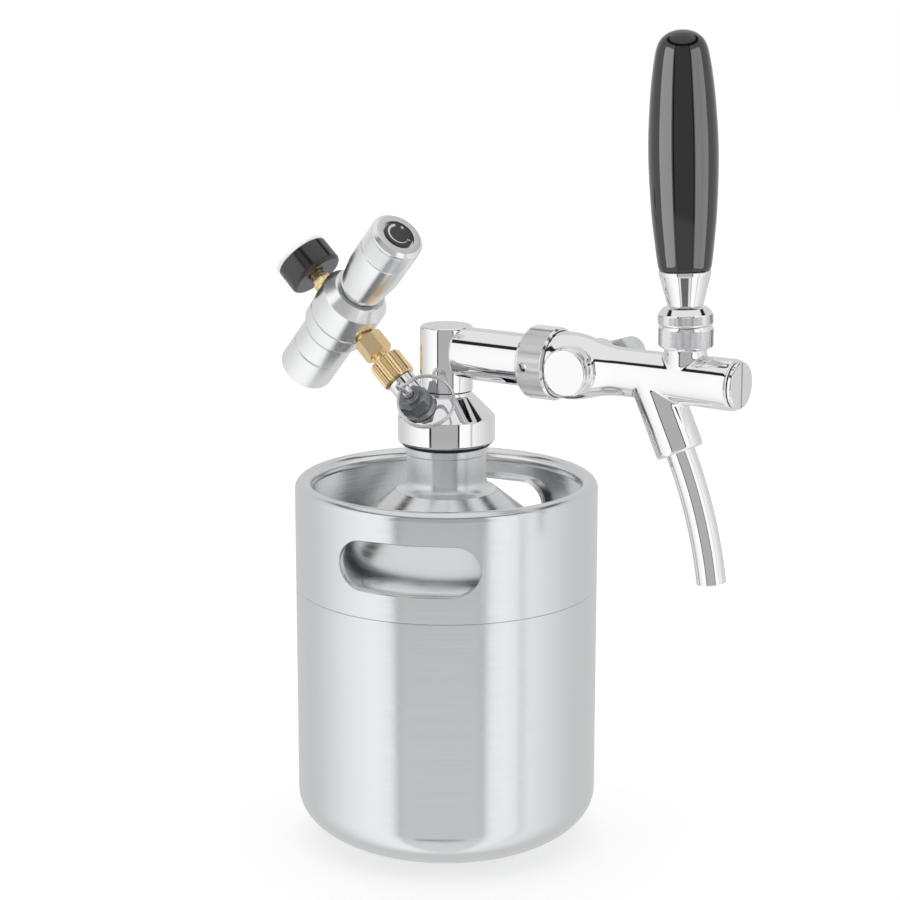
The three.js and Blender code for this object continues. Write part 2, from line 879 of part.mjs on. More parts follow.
function flowCap() {
  const face = -flow.bossReach - gap - flow.capThickness;
  return alongY(
    turned(
      [
        point(0, face),
        point(flow.capRadius - gap, face),
        point(flow.capRadius, face + gap),
        point(flow.capRadius, face + flow.capThickness),
        point(flow.capSpigot, face + flow.capThickness),
        point(flow.capSpigot, flow.capSpigotDepth - flow.bossReach - gap),
        point(0, flow.capSpigotDepth - flow.bossReach - gap),
      ],
      sides.medium,
    ),
  ).translate(flow.x, 0, shank.axis);
}
piece("flow_boss_cap", flowCap(), "chrome");

// Handle: bonnet nut, ball lever, lock ring, ferrule and grip, leaning back a little at rest
const rimRise = boss.top + gap + bonnet.height - pivot.z;
const domeRadius = Math.hypot(bonnet.radius, rimRise);
const leverFrame = new THREE.Group();
leverFrame.position.set(pivot.x, 0, pivot.z);
leverFrame.rotation.y = degrees(pivot.lean);
dispenser.add(leverFrame);
leverFrame.updateMatrixWorld(true);

function bonnetNut() {
  const foot = boss.top + gap - pivot.z;
  const rimAngle = (Math.atan2(rimRise, bonnet.radius) * 180) / Math.PI;
  const ceiling = ball.radius + bonnet.ceiling - gap;
  const body = turned(
    [
      point(boss.sleeveRadius + gap, foot),
      point(bonnet.radius, foot),
      ...arc(0, 0, domeRadius, domeRadius, rimAngle, 90, 4).map((p, i) => point(i === 4 ? 0 : p.x, p.y)),
      point(0, ceiling),
      point(boss.sleeveRadius + gap, sleeveTop + gap - pivot.z),
    ],
    sides.large,
  );
  const clear = ball.stemRadius + gap;
  const forward = degrees(swing.forward + pivot.lean);
  const back = degrees(pivot.lean);
  const far = domeRadius + overrun;
  const front = clear / Math.cos(forward);
  const wedge = plate(
    [
      [-clear, 0],
      [front, 0],
      [far * Math.sin(forward) + front, far * Math.cos(forward)],
      [far * Math.sin(back) - clear, far * Math.cos(back)],
    ],
    swing.slotHalfWidth,
  );
  return cut(body, wedge).translate(pivot.x, 0, pivot.z);
}
piece("bonnet_nut", bonnetNut(), "chrome");

function ballLever() {
  const reach = pivot.z - shank.axis;
  const stemAngle = (Math.asin(ball.stemRadius / ball.radius) * 180) / Math.PI;
  const fingerAngle = (Math.asin(ball.fingerRadius / ball.radius) * 180) / Math.PI;
  const tipAngle = (Math.asin(ball.fingerRadius / ball.fingerBall) * 180) / Math.PI;
  return turned(
    [
      ...arc(0, -reach, ball.fingerBall, ball.fingerBall, -90, 90 - tipAngle, 4).map((p, i) =>
        point(i === 0 ? 0 : p.x, p.y),
      ),
      ...arc(0, 0, ball.radius, ball.radius, fingerAngle - 90, 90 - stemAngle, 6),
      point(ball.stemRadius, ball.stemTop),
      point(0, ball.stemTop),
    ],
    sides.small,
  );
}
piece("handle_lever", ballLever(), "steel", leverFrame);

const lockRingTop = domeRadius + gap + lockRing.crown;
function lockRingBody() {
  const cup = domeRadius + gap;
  const foot = rimRise + lockRing.lift;
  const topAngle = (Math.acos((ball.stemRadius + gap) / cup) * 180) / Math.PI;
  const footAngle = (Math.asin(foot / cup) * 180) / Math.PI;
  const inner = arc(0, 0, cup, cup, topAngle, footAngle, 4);
  return turned(
    [
      ...inner,
      point(bonnet.radius, foot),
      point(bonnet.radius, lockRingTop - lockRing.bevel),
      point(bonnet.radius - lockRing.bevel, lockRingTop),
      point(ball.stemRadius + gap, lockRingTop),
    ],
    sides.large,
  );
}
piece("lock_ring", lockRingBody(), "chrome", leverFrame);

function ferruleBody() {
  const foot = lockRingTop + gap;
  return turned(
    [
      point(ball.stemRadius + gap, foot),
      point(ferrule.bottomRadius, foot),
      point(ferrule.topRadius, ferrule.top - ferrule.lip),
      point(ferrule.topRadius, ferrule.top),
      point(ball.stemRadius + gap, ferrule.top),
    ],
    sides.large,
  );
}
piece("ferrule", ferruleBody(), "chrome", leverFrame);

function gripBody() {
  const length = grip.top - grip.bottom;
  const hole = ball.stemRadius + gap;
  return turned(
    [
      point(hole, grip.bottom),
      ...gripShares.map(([at, share]) => point(share * grip.radius, grip.bottom + at * length)),
      point(0, grip.top),
      point(0, grip.bottom + grip.holeDepth),
      point(hole, grip.bottom + grip.holeDepth),
    ],
    sides.large,
  );
}
piece("grip", gripBody(), "blackGloss", leverFrame);

// Valve: the shaft that the finger moves, its washer and ring seal
const notchX = pivot.x - (pivot.z - shank.axis) * Math.sin(degrees(pivot.lean));
const blockStart = notchX - valve.blockBefore;
const blockEnd = notchX + valve.blockAfter;
const washerFront = tap.seatStart - gap;
const headFront = washerFront - valve.washerThickness - gap;
function valveShaft() {
  const body = turned(
    [
      point(0, headFront - valve.headLength),
      point(valve.headRadius, headFront - valve.headLength),
      point(valve.headRadius, headFront),
      point(valve.rodRadius, headFront),
      point(valve.rodRadius, blockStart),
      point(valve.blockRadius, blockStart),
      point(valve.blockRadius, blockEnd),
      point(0, blockEnd),
    ],
    sides.medium,
  );
  const top = valve.blockRadius + overrun;
  const notch = plate(
    [
      [notchX - valve.notchHalf, -valve.notchFloor],
      [notchX + valve.notchHalf, -valve.notchFloor],
      [notchX + valve.notchHalf, top],
      [notchX - valve.notchHalf, top],
    ],
    valve.notchHalfWidth,
  );
  return cut(alongX(body), notch).translate(0, 0, shank.axis);
}
piece("valve_shaft", valveShaft(), "steel");
const onShaft = (geometry) => alongX(geometry).translate(0, 0, shank.axis);
piece(
  "valve_washer",
  onShaft(pipe(valve.rodRadius + gap, valve.washerRadius, washerFront - valve.washerThickness, washerFront)),
  "rubber",
);
piece(
  "shaft_seal",
  onShaft(
    pipe(
      valve.rodRadius + gap,
      valve.ringRadius,
      blockStart - gap - valve.ringWidth,
      blockStart - gap,
      sides.medium,
    ),
  ),
  "rubber",
);

function endCapBody() {
  const back = tap.front + gap;
  const front = back + endCap.thickness;
  const body = turned(
    [
      point(0, tap.front - endCap.plugLength),
      point(endCap.plugRadius, tap.front - endCap.plugLength),
      point(endCap.plugRadius, back),
      point(endCap.radius, back),
      point(endCap.radius, front - gap),
      point(endCap.radius - gap, front),
      point(0, front),
    ],
    sides.medium,
  );
  const groove = new THREE.BoxGeometry(2 * endCap.slotDepth, endCap.slotWidth, 2 * endCap.radius + overrun);
  return cut(alongX(body), groove.translate(front, 0, 0)).translate(0, 0, shank.axis);
}
piece("end_cap", endCapBody(), "chrome");

// Spout: a straight length in its socket, then a bend
function spoutPath() {
  const down = new THREE.Vector3(Math.sin(degrees(spout.tilt)), 0, -Math.cos(degrees(spout.tilt)));
  const last = new THREE.Vector3(Math.sin(degrees(spout.endTilt)), 0, -Math.cos(degrees(spout.endTilt)));
  const axis = new THREE.Vector3(spout.start, 0, shank.axis);
  const start = axis.clone().addScaledVector(down, spout.tubeFrom);
  const bend = axis.clone().addScaledVector(down, spout.socketLength + gap);
  const end = new THREE.Vector3(spout.endX, 0, shank.axis - spout.endDrop);
  const path = new THREE.CurvePath();
  path.add(new THREE.LineCurve3(start, bend));
  path.add(
    new THREE.CubicBezierCurve3(
      bend,
      bend.clone().addScaledVector(down, spout.bendStart),
      end.clone().addScaledVector(last, -spout.bendEnd),
      end,
    ),
  );
  return path;
}

function spoutTube() {
  const circle = (radius) =>
    Array.from({ length: sides.small }, (_, i) => {
      const angle = (2 * Math.PI * i) / sides.small;
      return point(radius * Math.cos(angle), radius * Math.sin(angle));
    });
  const section = new THREE.Shape(circle(spout.tubeRadius));
  section.holes.push(new THREE.Path(circle(spout.tubeBore)));
  const settings = { steps: spout.steps, extrudePath: spoutPath(), bevelEnabled: false };
  return new THREE.ExtrudeGeometry(section, settings);
}
piece("spout_tube", spoutTube(), "chrome");
piece(
  "spout_seal",
  placed(
    pipe(spout.passage, spout.tubeRadius, spout.tubeFrom - spout.sealWidth, spout.tubeFrom - gap),
    spoutFrame,
  ),
  "rubber",
);

// Gas inlet: stub, knurled nut and brass fitting
function inletStub() {
  return turned(
    [
      point(inlet.bore, port.spigotFrom),
      point(port.spigotRadius, port.spigotFrom),
      point(port.spigotRadius, port.faceFrom + gap),
      point(inlet.radius, port.faceFrom + gap),
      point(inlet.radius, inlet.shoulder),
      point(inlet.threadRadius, inlet.shoulder),
      point(inlet.threadRadius, inlet.threadTop),
      point(inlet.bore, inlet.threadTop),
    ],
    sides.medium,
  );
}
piece("gas_inlet_stub", inletStub(), "chrome", inletFrame);

function gasNutBody() {
  return turned(
    [
      point(inlet.threadRadius + gap, gasNut.bottom),
      point(gasNut.radius - gasNut.chamfer, gasNut.bottom),
      point(gasNut.radius, gasNut.bottom + gasNut.chamfer),
      point(gasNut.radius, gasNut.top - gasNut.chamfer),
      point(gasNut.radius - gasNut.chamfer, gasNut.top),
      point(gasNut.throat, gasNut.top),
      point(gasNut.throat, gasNut.shoulder),
      point(inlet.threadRadius + gap, gasNut.shoulder),
    ],
    sides.large,
  );
}
piece("gas_nut", gasNutBody(), "brass", inletFrame);

function gasFitting() {
  const tail = turned(
    [
      point(0, fitting.flangeFrom),
      point(fitting.flangeRadius, fitting.flangeFrom),
      point(fitting.flangeRadius, fitting.flangeTo),
      point(fitting.neckRadius, fitting.flangeTo),
      point(fitting.neckRadius, fitting.hexTo - fitting.neckRadius),
      point(fitting.spigotRadius, fitting.hexTo - fitting.neckRadius),
      point(fitting.spigotRadius, fitting.spigotTo),
      point(0, fitting.spigotTo),
    ],
    sides.small,
  );
  const body = join(tail, hexBar(fitting.hexAcross, fitting.hexFrom, fitting.hexTo));
  return cut(body, rod(inlet.bore, fitting.flangeFrom - overrun, fitting.spigotTo + overrun, sides.wire));
}
piece("gas_fitting", gasFitting(), "brass", inletFrame);

// Regulator: its own Z points to the knob and its X along the gas line to the gauge
const swivelFrame = new THREE.Group();
swivelFrame.position.z = regulator.at;
swivelFrame.rotation.z = degrees(regulator.swivel);
inletFrame.add(swivelFrame);
const regulatorFrame = new THREE.Group();
regulatorFrame.rotation.y = -quarter;
swivelFrame.add(regulatorFrame);

function regulatorBody() {
  const body = turned(
    [
      point(0, regulator.bottom),
      point(regulator.radius, regulator.bottom),
      point(regulator.radius, regulator.shoulder),
      point(regulator.faceRadius, regulator.faceAt),
      point(regulator.bonnetRadius, regulator.faceAt),
      point(regulator.bonnetRadius, regulator.bonnetTop),
      point(0, regulator.bonnetTop),
    ],
    sides.large,
  );
  const side = (from, to) => alongX(rod(regulator.sidePort, from, to));
  const reach = regulator.radius + overrun;
  const inner = regulator.radius - regulator.sidePortDepth;
  return cut(
    body,
    rod(regulator.springBore, regulator.springFloor, regulator.bonnetTop + overrun),
    rod(regulator.sleeveBore, regulator.bottom - overrun, regulator.sleeveBoreTop, sides.large),
    rod(regulator.passage, regulator.sleeveBoreTop - overrun, regulator.springFloor + overrun, sides.wire),
    side(inner, reach),
    side(-reach, -inner),
    alongX(rod(regulator.passage, -inner - overrun, inner + overrun, sides.wire)),
  );
}
piece("regulator_body", regulatorBody(), "satinAluminium", regulatorFrame);

function cartridgeSocket() {
  const top = regulator.bottom - gap;
  const grooveEnd = socket.grooveAt + socket.grooveWidth;
  return turned(
    [
      point(socket.bore, socket.bottom),
      point(socket.radius - socket.chamfer, socket.bottom),
      point(socket.radius, socket.bottom + socket.chamfer),
      point(socket.radius, socket.grooveAt),
      point(socket.radius - socket.groove, socket.grooveAt + socket.grooveWidth / 2),
      point(socket.radius, grooveEnd),
      point(socket.radius, top),
      point(socket.spigotRadius, top),
      point(socket.spigotRadius, socket.spigotTop),
      point(socket.threadBore, socket.spigotTop),
      point(socket.threadBore, socket.boreTop),
      point(socket.bore, socket.boreTop),
    ],
    sides.large,
  );
}
piece("cartridge_socket", cartridgeSocket(), "satinAluminium", regulatorFrame);

function piercingPin() {
  return turned(
    [
      point(0, pin.tip),
      point(pin.tipRadius, pin.from),
      point(pin.radius, pin.from),
      point(pin.radius, pin.to),
      point(0, pin.to),
    ],
    sides.small,
  );
}
piece("piercing_pin", piercingPin(), "steel", regulatorFrame);

function pressureKnob() {
  return turned(
    [
      point(knob.cavityRadius, knob.bottom),
      point(knob.bottomRadius, knob.bottom),
      point(knob.topRadius, knob.top - 2 * knob.topRadius),
      point(knob.topRadius, knob.top - knob.chamfer),
      point(knob.topRadius - knob.chamfer, knob.top),
      point(knob.recessRadius, knob.top),
      point(knob.recessRadius, knob.top - knob.recessDepth),
      point(0, knob.top - knob.recessDepth),
      point(0, knob.screwBottom),
      point(knob.screwRadius, knob.screwBottom),
      point(knob.screwRadius, knob.cavityTop),
      point(knob.cavityRadius, knob.cavityTop),
    ],
    sides.large,
  );
}
piece("pressure_knob", pressureKnob(), "satinAluminium", regulatorFrame);
const badgeBottom = knob.top - knob.recessDepth + gap;
piece(
  "knob_badge",
  rod(badge.radius, badgeBottom, badgeBottom + badge.thickness, sides.medium),
  "blackPlastic",
  regulatorFrame,
);
piece("spring_plate", rod(spring.plateRadius, spring.plateFrom, spring.plateTo), "steel", regulatorFrame);

const coilSteps = 8;
const coilSides = 4;
function coil(radius, wire, turns, from, to) {
  const height = to - from - wire - 2 * gap;
  const path = new Helix(radius, height / turns, turns, from + gap + wire / 2);
  return wireAlong(path, wire, turns * coilSteps, coilSides);
}
piece(
  "regulating_spring",
  coil(spring.radius, spring.wire, spring.turns, regulator.springFloor, spring.plateFrom),
  "steel",
  regulatorFrame,
);

// Gauge, on the far side of the regulator along the gas line
function gaugeStem() {
  const face = regulator.at + regulator.radius + gap;
  const tail = turned(
    [
      point(0, regulator.at + regulator.sidePortDepth),
      point(fitting.spigotRadius, regulator.at + regulator.sidePortDepth),
      point(fitting.spigotRadius, face + gap),
      point(gauge.neckRadius, face + gap),
      point(gauge.neckRadius, gauge.back + gauge.wall),
      point(0, gauge.back + gauge.wall),
    ],
    sides.small,
  );
  const hex = hexBar(gauge.hexAcross, face, gauge.hexTo);
  return join(tail, hex).translate(0, 0, -regulator.at);
}
piece("gauge_stem", gaugeStem(), "brass", swivelFrame);

function gaugeCase() {
  return turned(
    [
      point(gauge.neckRadius + gap, gauge.back),
      point(gauge.radius - gauge.backEdge, gauge.back),
      point(gauge.radius, gauge.back + gauge.backEdge),
      point(gauge.radius, gauge.front),
      point(gauge.radius - gauge.wall, gauge.front),
      point(gauge.radius - gauge.wall, gauge.back + gauge.wall + gap),
      point(gauge.neckRadius + gap, gauge.back + gauge.wall + gap),
    ],
    sides.large,
  ).translate(0, 0, -regulator.at);
}
piece("gauge_case", gaugeCase(), "blackPlastic", swivelFrame);

const dialRadius = gauge.radius - gauge.wall - gap;
function gaugeDial() {
  const post = rod(gauge.neckRadius, gauge.back + gauge.wall + gap, gauge.dialAt + gap);
  const disc = rod(dialRadius, gauge.dialAt, gauge.dialAt + gauge.dialThickness, sides.large);
  return join(disc, post).translate(0, 0, -regulator.at);
}
piece("gauge_dial", gaugeDial(), "whiteEnamel", swivelFrame);

function gaugeNeedle() {
  const pointer = new THREE.Shape([
    point(-gauge.needleHalfWidth, -gauge.needleTail),
    point(gauge.needleHalfWidth, -gauge.needleTail),
    point(gauge.needleHalfWidth / 2, gauge.needleLength),
    point(-gauge.needleHalfWidth / 2, gauge.needleLength),
  ]);
  const blade = new THREE.ExtrudeGeometry(pointer, { depth: gauge.needleThickness, bevelEnabled: false });
  const hub = rod(gauge.hubRadius, -gap, gauge.needleThickness + gap);
  return join(blade, hub).rotateZ(degrees(gauge.needleRest)).translate(0, 0, gauge.needleAt - regulator.at);
}
piece("gauge_needle", gaugeNeedle(), "blackPlastic", swivelFrame);

function gaugeLens() {
  const lip = gauge.front + gap;
  return turned(
    [
      point(0, gauge.lensFrom),
      point(dialRadius, gauge.lensFrom),
      point(dialRadius, lip),
      point(gauge.radius, lip),
      point(gauge.radius, lip + gauge.lensLip / 2),
      point(gauge.radius - gauge.lensLip, lip + gauge.lensLip),
      point(0, lip + gauge.lensLip + gauge.lensDome),
    ],
    sides.large,
  ).translate(0, 0, -regulator.at);
}
piece("gauge_lens", gaugeLens(), "clear", swivelFrame);

// Relief valve: body, sprung stem with its eye, and the pull ring
function reliefBody() {
  const base = turned(
    [
      point(0, port.spigotFrom),
      point(port.spigotRadius, port.spigotFrom),
      point(port.spigotRadius, port.faceFrom + gap),
      point(relief.flangeRadius, port.faceFrom + gap),
      point(relief.flangeRadius, relief.flangeTop),
      point(relief.collarRadius, relief.flangeTop),
      point(relief.collarRadius, relief.collarTop),
      point(0, relief.collarTop),
    ],
    sides.medium,
  );
  const body = join(base, hexBar(relief.hexAcross, relief.flangeTop - gap, relief.hexTop));
  return cut(
    body,
    rod(inlet.bore, port.spigotFrom - overrun, relief.boreFrom + overrun, sides.wire),
    rod(relief.bore, relief.boreFrom, relief.boreTo),
    rod(relief.stemRadius + gap, relief.boreTo - overrun, relief.collarTop + overrun),
  );
}
piece("relief_body", reliefBody(), "darkSteel", reliefFrame);

function reliefStem() {
  const stem = turned(
    [
      point(0, relief.discFrom),
      point(relief.discRadius, relief.discFrom),
      point(relief.discRadius, relief.discTo),
      point(relief.stemRadius, relief.discTo),
      point(relief.stemRadius, relief.stemTop),
      point(0, relief.stemTop),
    ],
    sides.small,
  );
  const eye = alongY(rod(relief.eyeRadius, -relief.eyeHalfWidth, relief.eyeHalfWidth));
  const hole = alongY(rod(relief.eyeHole, -relief.eyeHalfWidth - overrun, relief.eyeHalfWidth + overrun));
  const body = join(stem, eye.translate(0, 0, relief.eyeAt));
  return cut(body, hole.translate(0, 0, relief.eyeAt)).rotateZ(degrees(relief.eyeTurn));
}
piece("relief_stem", reliefStem(), "steel", reliefFrame);
piece(
  "relief_spring",
  coil(relief.springRadius, relief.springWire, relief.springTurns, relief.discTo, relief.boreTo),
  "steel",
  reliefFrame,
);

// The ring's frame is at the eye: Y is the axis of the eye's hole, and X points to the ring's centre
const ringFrame = new THREE.Group();
ringFrame.position.z = relief.eyeAt;
ringFrame.rotation.set(0, degrees(ring.hang), degrees(relief.eyeTurn), "ZYX");
reliefFrame.add(ringFrame);
function reliefRing() {
  const path = new Helix(ring.radius, ring.pitch, ring.turns, (-ring.pitch * ring.turns) / 2);
  const steps = ring.steps * ring.turns;
  const least = leastGap(path, ring.wire, steps, ring.turns);
  console.log("relief ring, least gap between turns", least.toFixed(2));
  return wireAlong(path, ring.wire, steps).translate(ring.radius - ring.slack, 0, 0);
}
piece("relief_ring", reliefRing(), "steel", ringFrame);

export default dispenser;
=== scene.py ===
# %% [markdown]
# # A mini keg beer dispenser in Blender
# The object is a steel keg with a screw-on head. The head carries a chrome tap, a relief valve and a small
# gas regulator. Almost every piece was turned on a lathe, so almost every piece here is spun from a profile.
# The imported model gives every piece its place. Each new piece stands for one of its nodes, apart from two
# that are print on a node.

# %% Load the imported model
import json
from math import acos, atan2, cos, pi, radians, sin, sqrt, tau

import bmesh
import bpy
from mathutils import Matrix, Vector, geometry


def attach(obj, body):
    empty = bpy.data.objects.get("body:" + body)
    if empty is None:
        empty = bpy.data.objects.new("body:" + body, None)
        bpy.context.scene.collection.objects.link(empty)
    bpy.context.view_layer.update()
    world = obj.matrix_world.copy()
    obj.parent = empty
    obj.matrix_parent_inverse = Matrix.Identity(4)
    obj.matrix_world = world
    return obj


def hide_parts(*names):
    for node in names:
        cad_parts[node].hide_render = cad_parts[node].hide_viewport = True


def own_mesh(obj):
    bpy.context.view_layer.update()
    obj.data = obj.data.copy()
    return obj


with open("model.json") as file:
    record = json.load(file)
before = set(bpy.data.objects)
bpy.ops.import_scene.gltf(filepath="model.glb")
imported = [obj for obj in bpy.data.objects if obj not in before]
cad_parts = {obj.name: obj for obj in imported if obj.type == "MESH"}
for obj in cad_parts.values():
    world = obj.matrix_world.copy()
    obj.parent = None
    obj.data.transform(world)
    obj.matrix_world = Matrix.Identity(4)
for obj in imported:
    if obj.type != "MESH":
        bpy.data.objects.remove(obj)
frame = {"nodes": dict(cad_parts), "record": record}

scene = bpy.context.scene
scene.view_settings.view_transform = "Standard"
bodies = frame["record"]["behaviour"]["bodies"]
body_of = {node: body for body, nodes in bodies.items() for node in nodes}


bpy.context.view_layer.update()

# %% [markdown]
# ## Camera
# The keg's sides, weld and rim fix the camera in the photograph: one metre away, a little above the handle.
# A long lens keeps the sides of the keg almost parallel, as they are in the photograph.

# %% Camera
camera_x, camera_y, camera_height = 0.5592, -0.8290, 0.3973
look_down, heading = 0.2219, radians(33.914)
camera = bpy.data.objects.new("Camera", bpy.data.cameras.new("Camera"))
camera.data.sensor_width = 36
camera.data.lens = 95.742
camera.data.clip_start = 0.01
camera.location = (camera_x, camera_y, camera_height)
camera.rotation_euler = (radians(90) - look_down, 0, heading)
scene.collection.objects.link(camera)
scene.camera = camera
print("camera at", tuple(camera.location))

# %% [markdown]
# ## Node trees in short
# A material is a tree of nodes. Wiring each one by hand takes many lines, so this small class adds a node,
# fills its inputs with values or with other nodes' outputs, and hands back its output.


# %% A short way to write nodes
class Tree:
    def __init__(self, owner):
        owner.use_nodes = True
        self.nodes, self.links = owner.node_tree.nodes, owner.node_tree.links
        self.nodes.clear()

    def add(self, kind, inputs=None, output=0, **settings):
        node = self.nodes.new("ShaderNode" + kind)
        for name, value in settings.items():
            setattr(node, name, value)
        for socket, value in (inputs or {}).items():
            if isinstance(value, bpy.types.NodeSocket):
                self.links.new(value, node.inputs[socket])
            else:
                node.inputs[socket].default_value = value
        return node.outputs[output] if node.outputs else node

    def math(self, operation, first, second=0.0):
        return self.add("Math", {0: first, 1: second}, operation=operation)

    def step(self, value, start, end, low=0.0, high=1.0):
        """Goes smoothly from low to high as value goes from start to end."""
        inputs = {"Value": value, "From Min": start, "From Max": end, "To Min": low, "To Max": high}
        return self.add("MapRange", inputs, interpolation_type="SMOOTHSTEP")


# %% [markdown]
# ## A light tent
# Polished metal shows only what is round it. The object was photographed in a white tent: bright panels at
# both sides and overhead, dark seams between them, and an opening for the camera that shows as the grey
# stripe down every upright tube. From the camera's own level up the opening is darker and its frame is
# wider, and a dark patch below the lens stands for the tripod. The world is that tent, painted by
# direction. What the camera sees directly is plain white.

# %% World
panel, back_wall, overhead, table, seam = 1.08, 0.68, 0.84, 0.8, 0.02
opening, camera_level, tripod = 0.7, 0.46, 0.15
world = bpy.data.worlds.new("Tent")
scene.world = world
tent = Tree(world)
direction = tent.add("TexCoord", output="Generated")
toward_camera = Vector((camera_x, camera_y, 0)).normalized()
to_the_right = Vector((-camera_y, camera_x, 0)).normalized()


def along(vector):
    return tent.add("VectorMath", {0: direction, 1: vector}, output="Value", operation="DOT_PRODUCT")


side = tent.math("ARCTAN2", along(to_the_right), along(toward_camera))
height = tent.math("ARCSINE", along(Vector((0, 0, 1))))


def both(first, second):
    return tent.math("MULTIPLY", first, second)


def between(value, low, high, blur):
    """1 from low to high, in degrees, with edges that fade over blur degrees."""
    rise = tent.step(value, radians(low - blur), radians(low + blur))
    fall = tent.step(value, radians(high - blur), radians(high + blur), 1.0, 0.0)
    return both(rise, fall)


def painted(under, share, value):
    """The tone under, covered with value where share is 1."""
    return tent.add("Mix", {"Factor": share, "A": under, "B": value}, data_type="FLOAT")


below_overhead = tent.step(height, radians(39), radians(41), 1.0, 0.0)
right_wall = tent.step(side, radians(35), radians(125), panel, back_wall)
left_wall = tent.step(side, radians(-130), radians(-55), back_wall, panel)
walls = tent.math("MINIMUM", right_wall, left_wall)
walls = painted(overhead, below_overhead, walls)
not_behind = tent.step(tent.math("ABSOLUTE", side), 2.3, 2.6, 1.0, 0.0)
seam_over_walls = both(between(height, 39.5, 50, 1.5), not_behind)
at_camera_level = tent.step(height, radians(-15.5), radians(-12.5))
wide_frame = both(between(side, -41, 31, 0.8), at_camera_level)
frame_of_opening = both(tent.math("MAXIMUM", between(side, -38, 29, 0.8), wide_frame), below_overhead)
inside_opening = both(between(side, -36, 27, 0.8), below_overhead)
side_seam = both(between(side, 58, 59.5, 0.5), below_overhead)
room = painted(table, tent.step(height, radians(-36), radians(-30)), opening)
room = painted(room, at_camera_level, camera_level)
below_lens = both(between(side, -26, 14, 1), between(height, -39, -33.5, 0.6))
tone = walls
for share, value in (
    (seam_over_walls, seam),
    (side_seam, seam),
    (frame_of_opening, seam),
    (inside_opening, room),
    (below_lens, tripod),
):
    tone = painted(tone, share, value)
seen = tent.add("LightPath", output="Is Camera Ray")
tent.add("OutputWorld", {"Surface": tent.add("Background", {"Color": painted(tone, seen, 1.0)})})
print("tent ready")

# %% [markdown]
# ## Floor
# A plain pale floor catches a soft contact shadow. It is kept out of the reflections, because in the
# photograph the metal reflects the tent, and the floor ends close to the keg.

# %% Floor
floor_mesh = bpy.data.meshes.new("Floor")
shape = bmesh.new()
bmesh.ops.create_circle(shape, cap_ends=True, segments=96, radius=4)
bmesh.ops.translate(shape, verts=shape.verts, vec=(0, 0, -0.0003))
shape.to_mesh(floor_mesh)
shape.free()
floor = bpy.data.objects.new("Floor", floor_mesh)
scene.collection.objects.link(floor)
floor.visible_glossy = False
paper = Tree(bpy.data.materials.new("Paper"))
white = paper.add("BsdfDiffuse", {"Color": (0.95, 0.95, 0.95, 1)})
glow = paper.add("Emission", {"Color": (1, 1, 1, 1), "Strength": 0.42})
paper.add("OutputMaterial", {"Surface": paper.add("AddShader", {0: white, 1: glow})})
floor_mesh.materials.append(bpy.data.materials["Paper"])
print("floor ready")

# %% [markdown]
# ## Finishes
# Every finish is one Principled shader, and nearly all have something uneven in them, because no real
# surface is perfectly even: noise on the object's own coordinates moves the roughness a little and lifts
# the surface by a hundredth of a millimetre at most. Stretching the noise turns it into brushing. The
# neck's fine lathe lines are an anisotropic shader instead.


# %% A finish
def finish(
    name, colour, rough, uneven=0.02, metal=1.0, grain=400, stretch=(1, 1, 1), lift=0.0, shift=0.06, **sockets
):
    """A material: roughness give or take uneven, grain in cycles per metre and its lift in millimetres."""
    tree = Tree(bpy.data.materials.new(name))
    place = tree.add("TexCoord", output="Object")
    scaled = tree.add("Mapping", {"Vector": place, "Scale": stretch})
    noise = tree.add("TexNoise", {"Vector": scaled, "Scale": grain, "Detail": 3.0, "Roughness": 0.6})
    dull = [c * (1 - shift) for c in colour]
    shades = {"Factor": noise, "A": (*dull, 1), "B": (*colour, 1)}
    inputs = {
        "Base Color": tree.add("Mix", shades, output="Result", data_type="RGBA"),
        "Metallic": metal,
        "Roughness": tree.step(noise, 0.3, 0.7, rough - uneven, rough + uneven),
    }
    inputs.update({key.replace("_", " "): value for key, value in sockets.items()})
    if lift:
        inputs["Normal"] = tree.add("Bump", {"Height": noise, "Strength": 0.6, "Distance": lift * 0.001})
    tree.add("OutputMaterial", {"Surface": tree.add("BsdfPrincipled", inputs)})
    return bpy.data.materials[name]


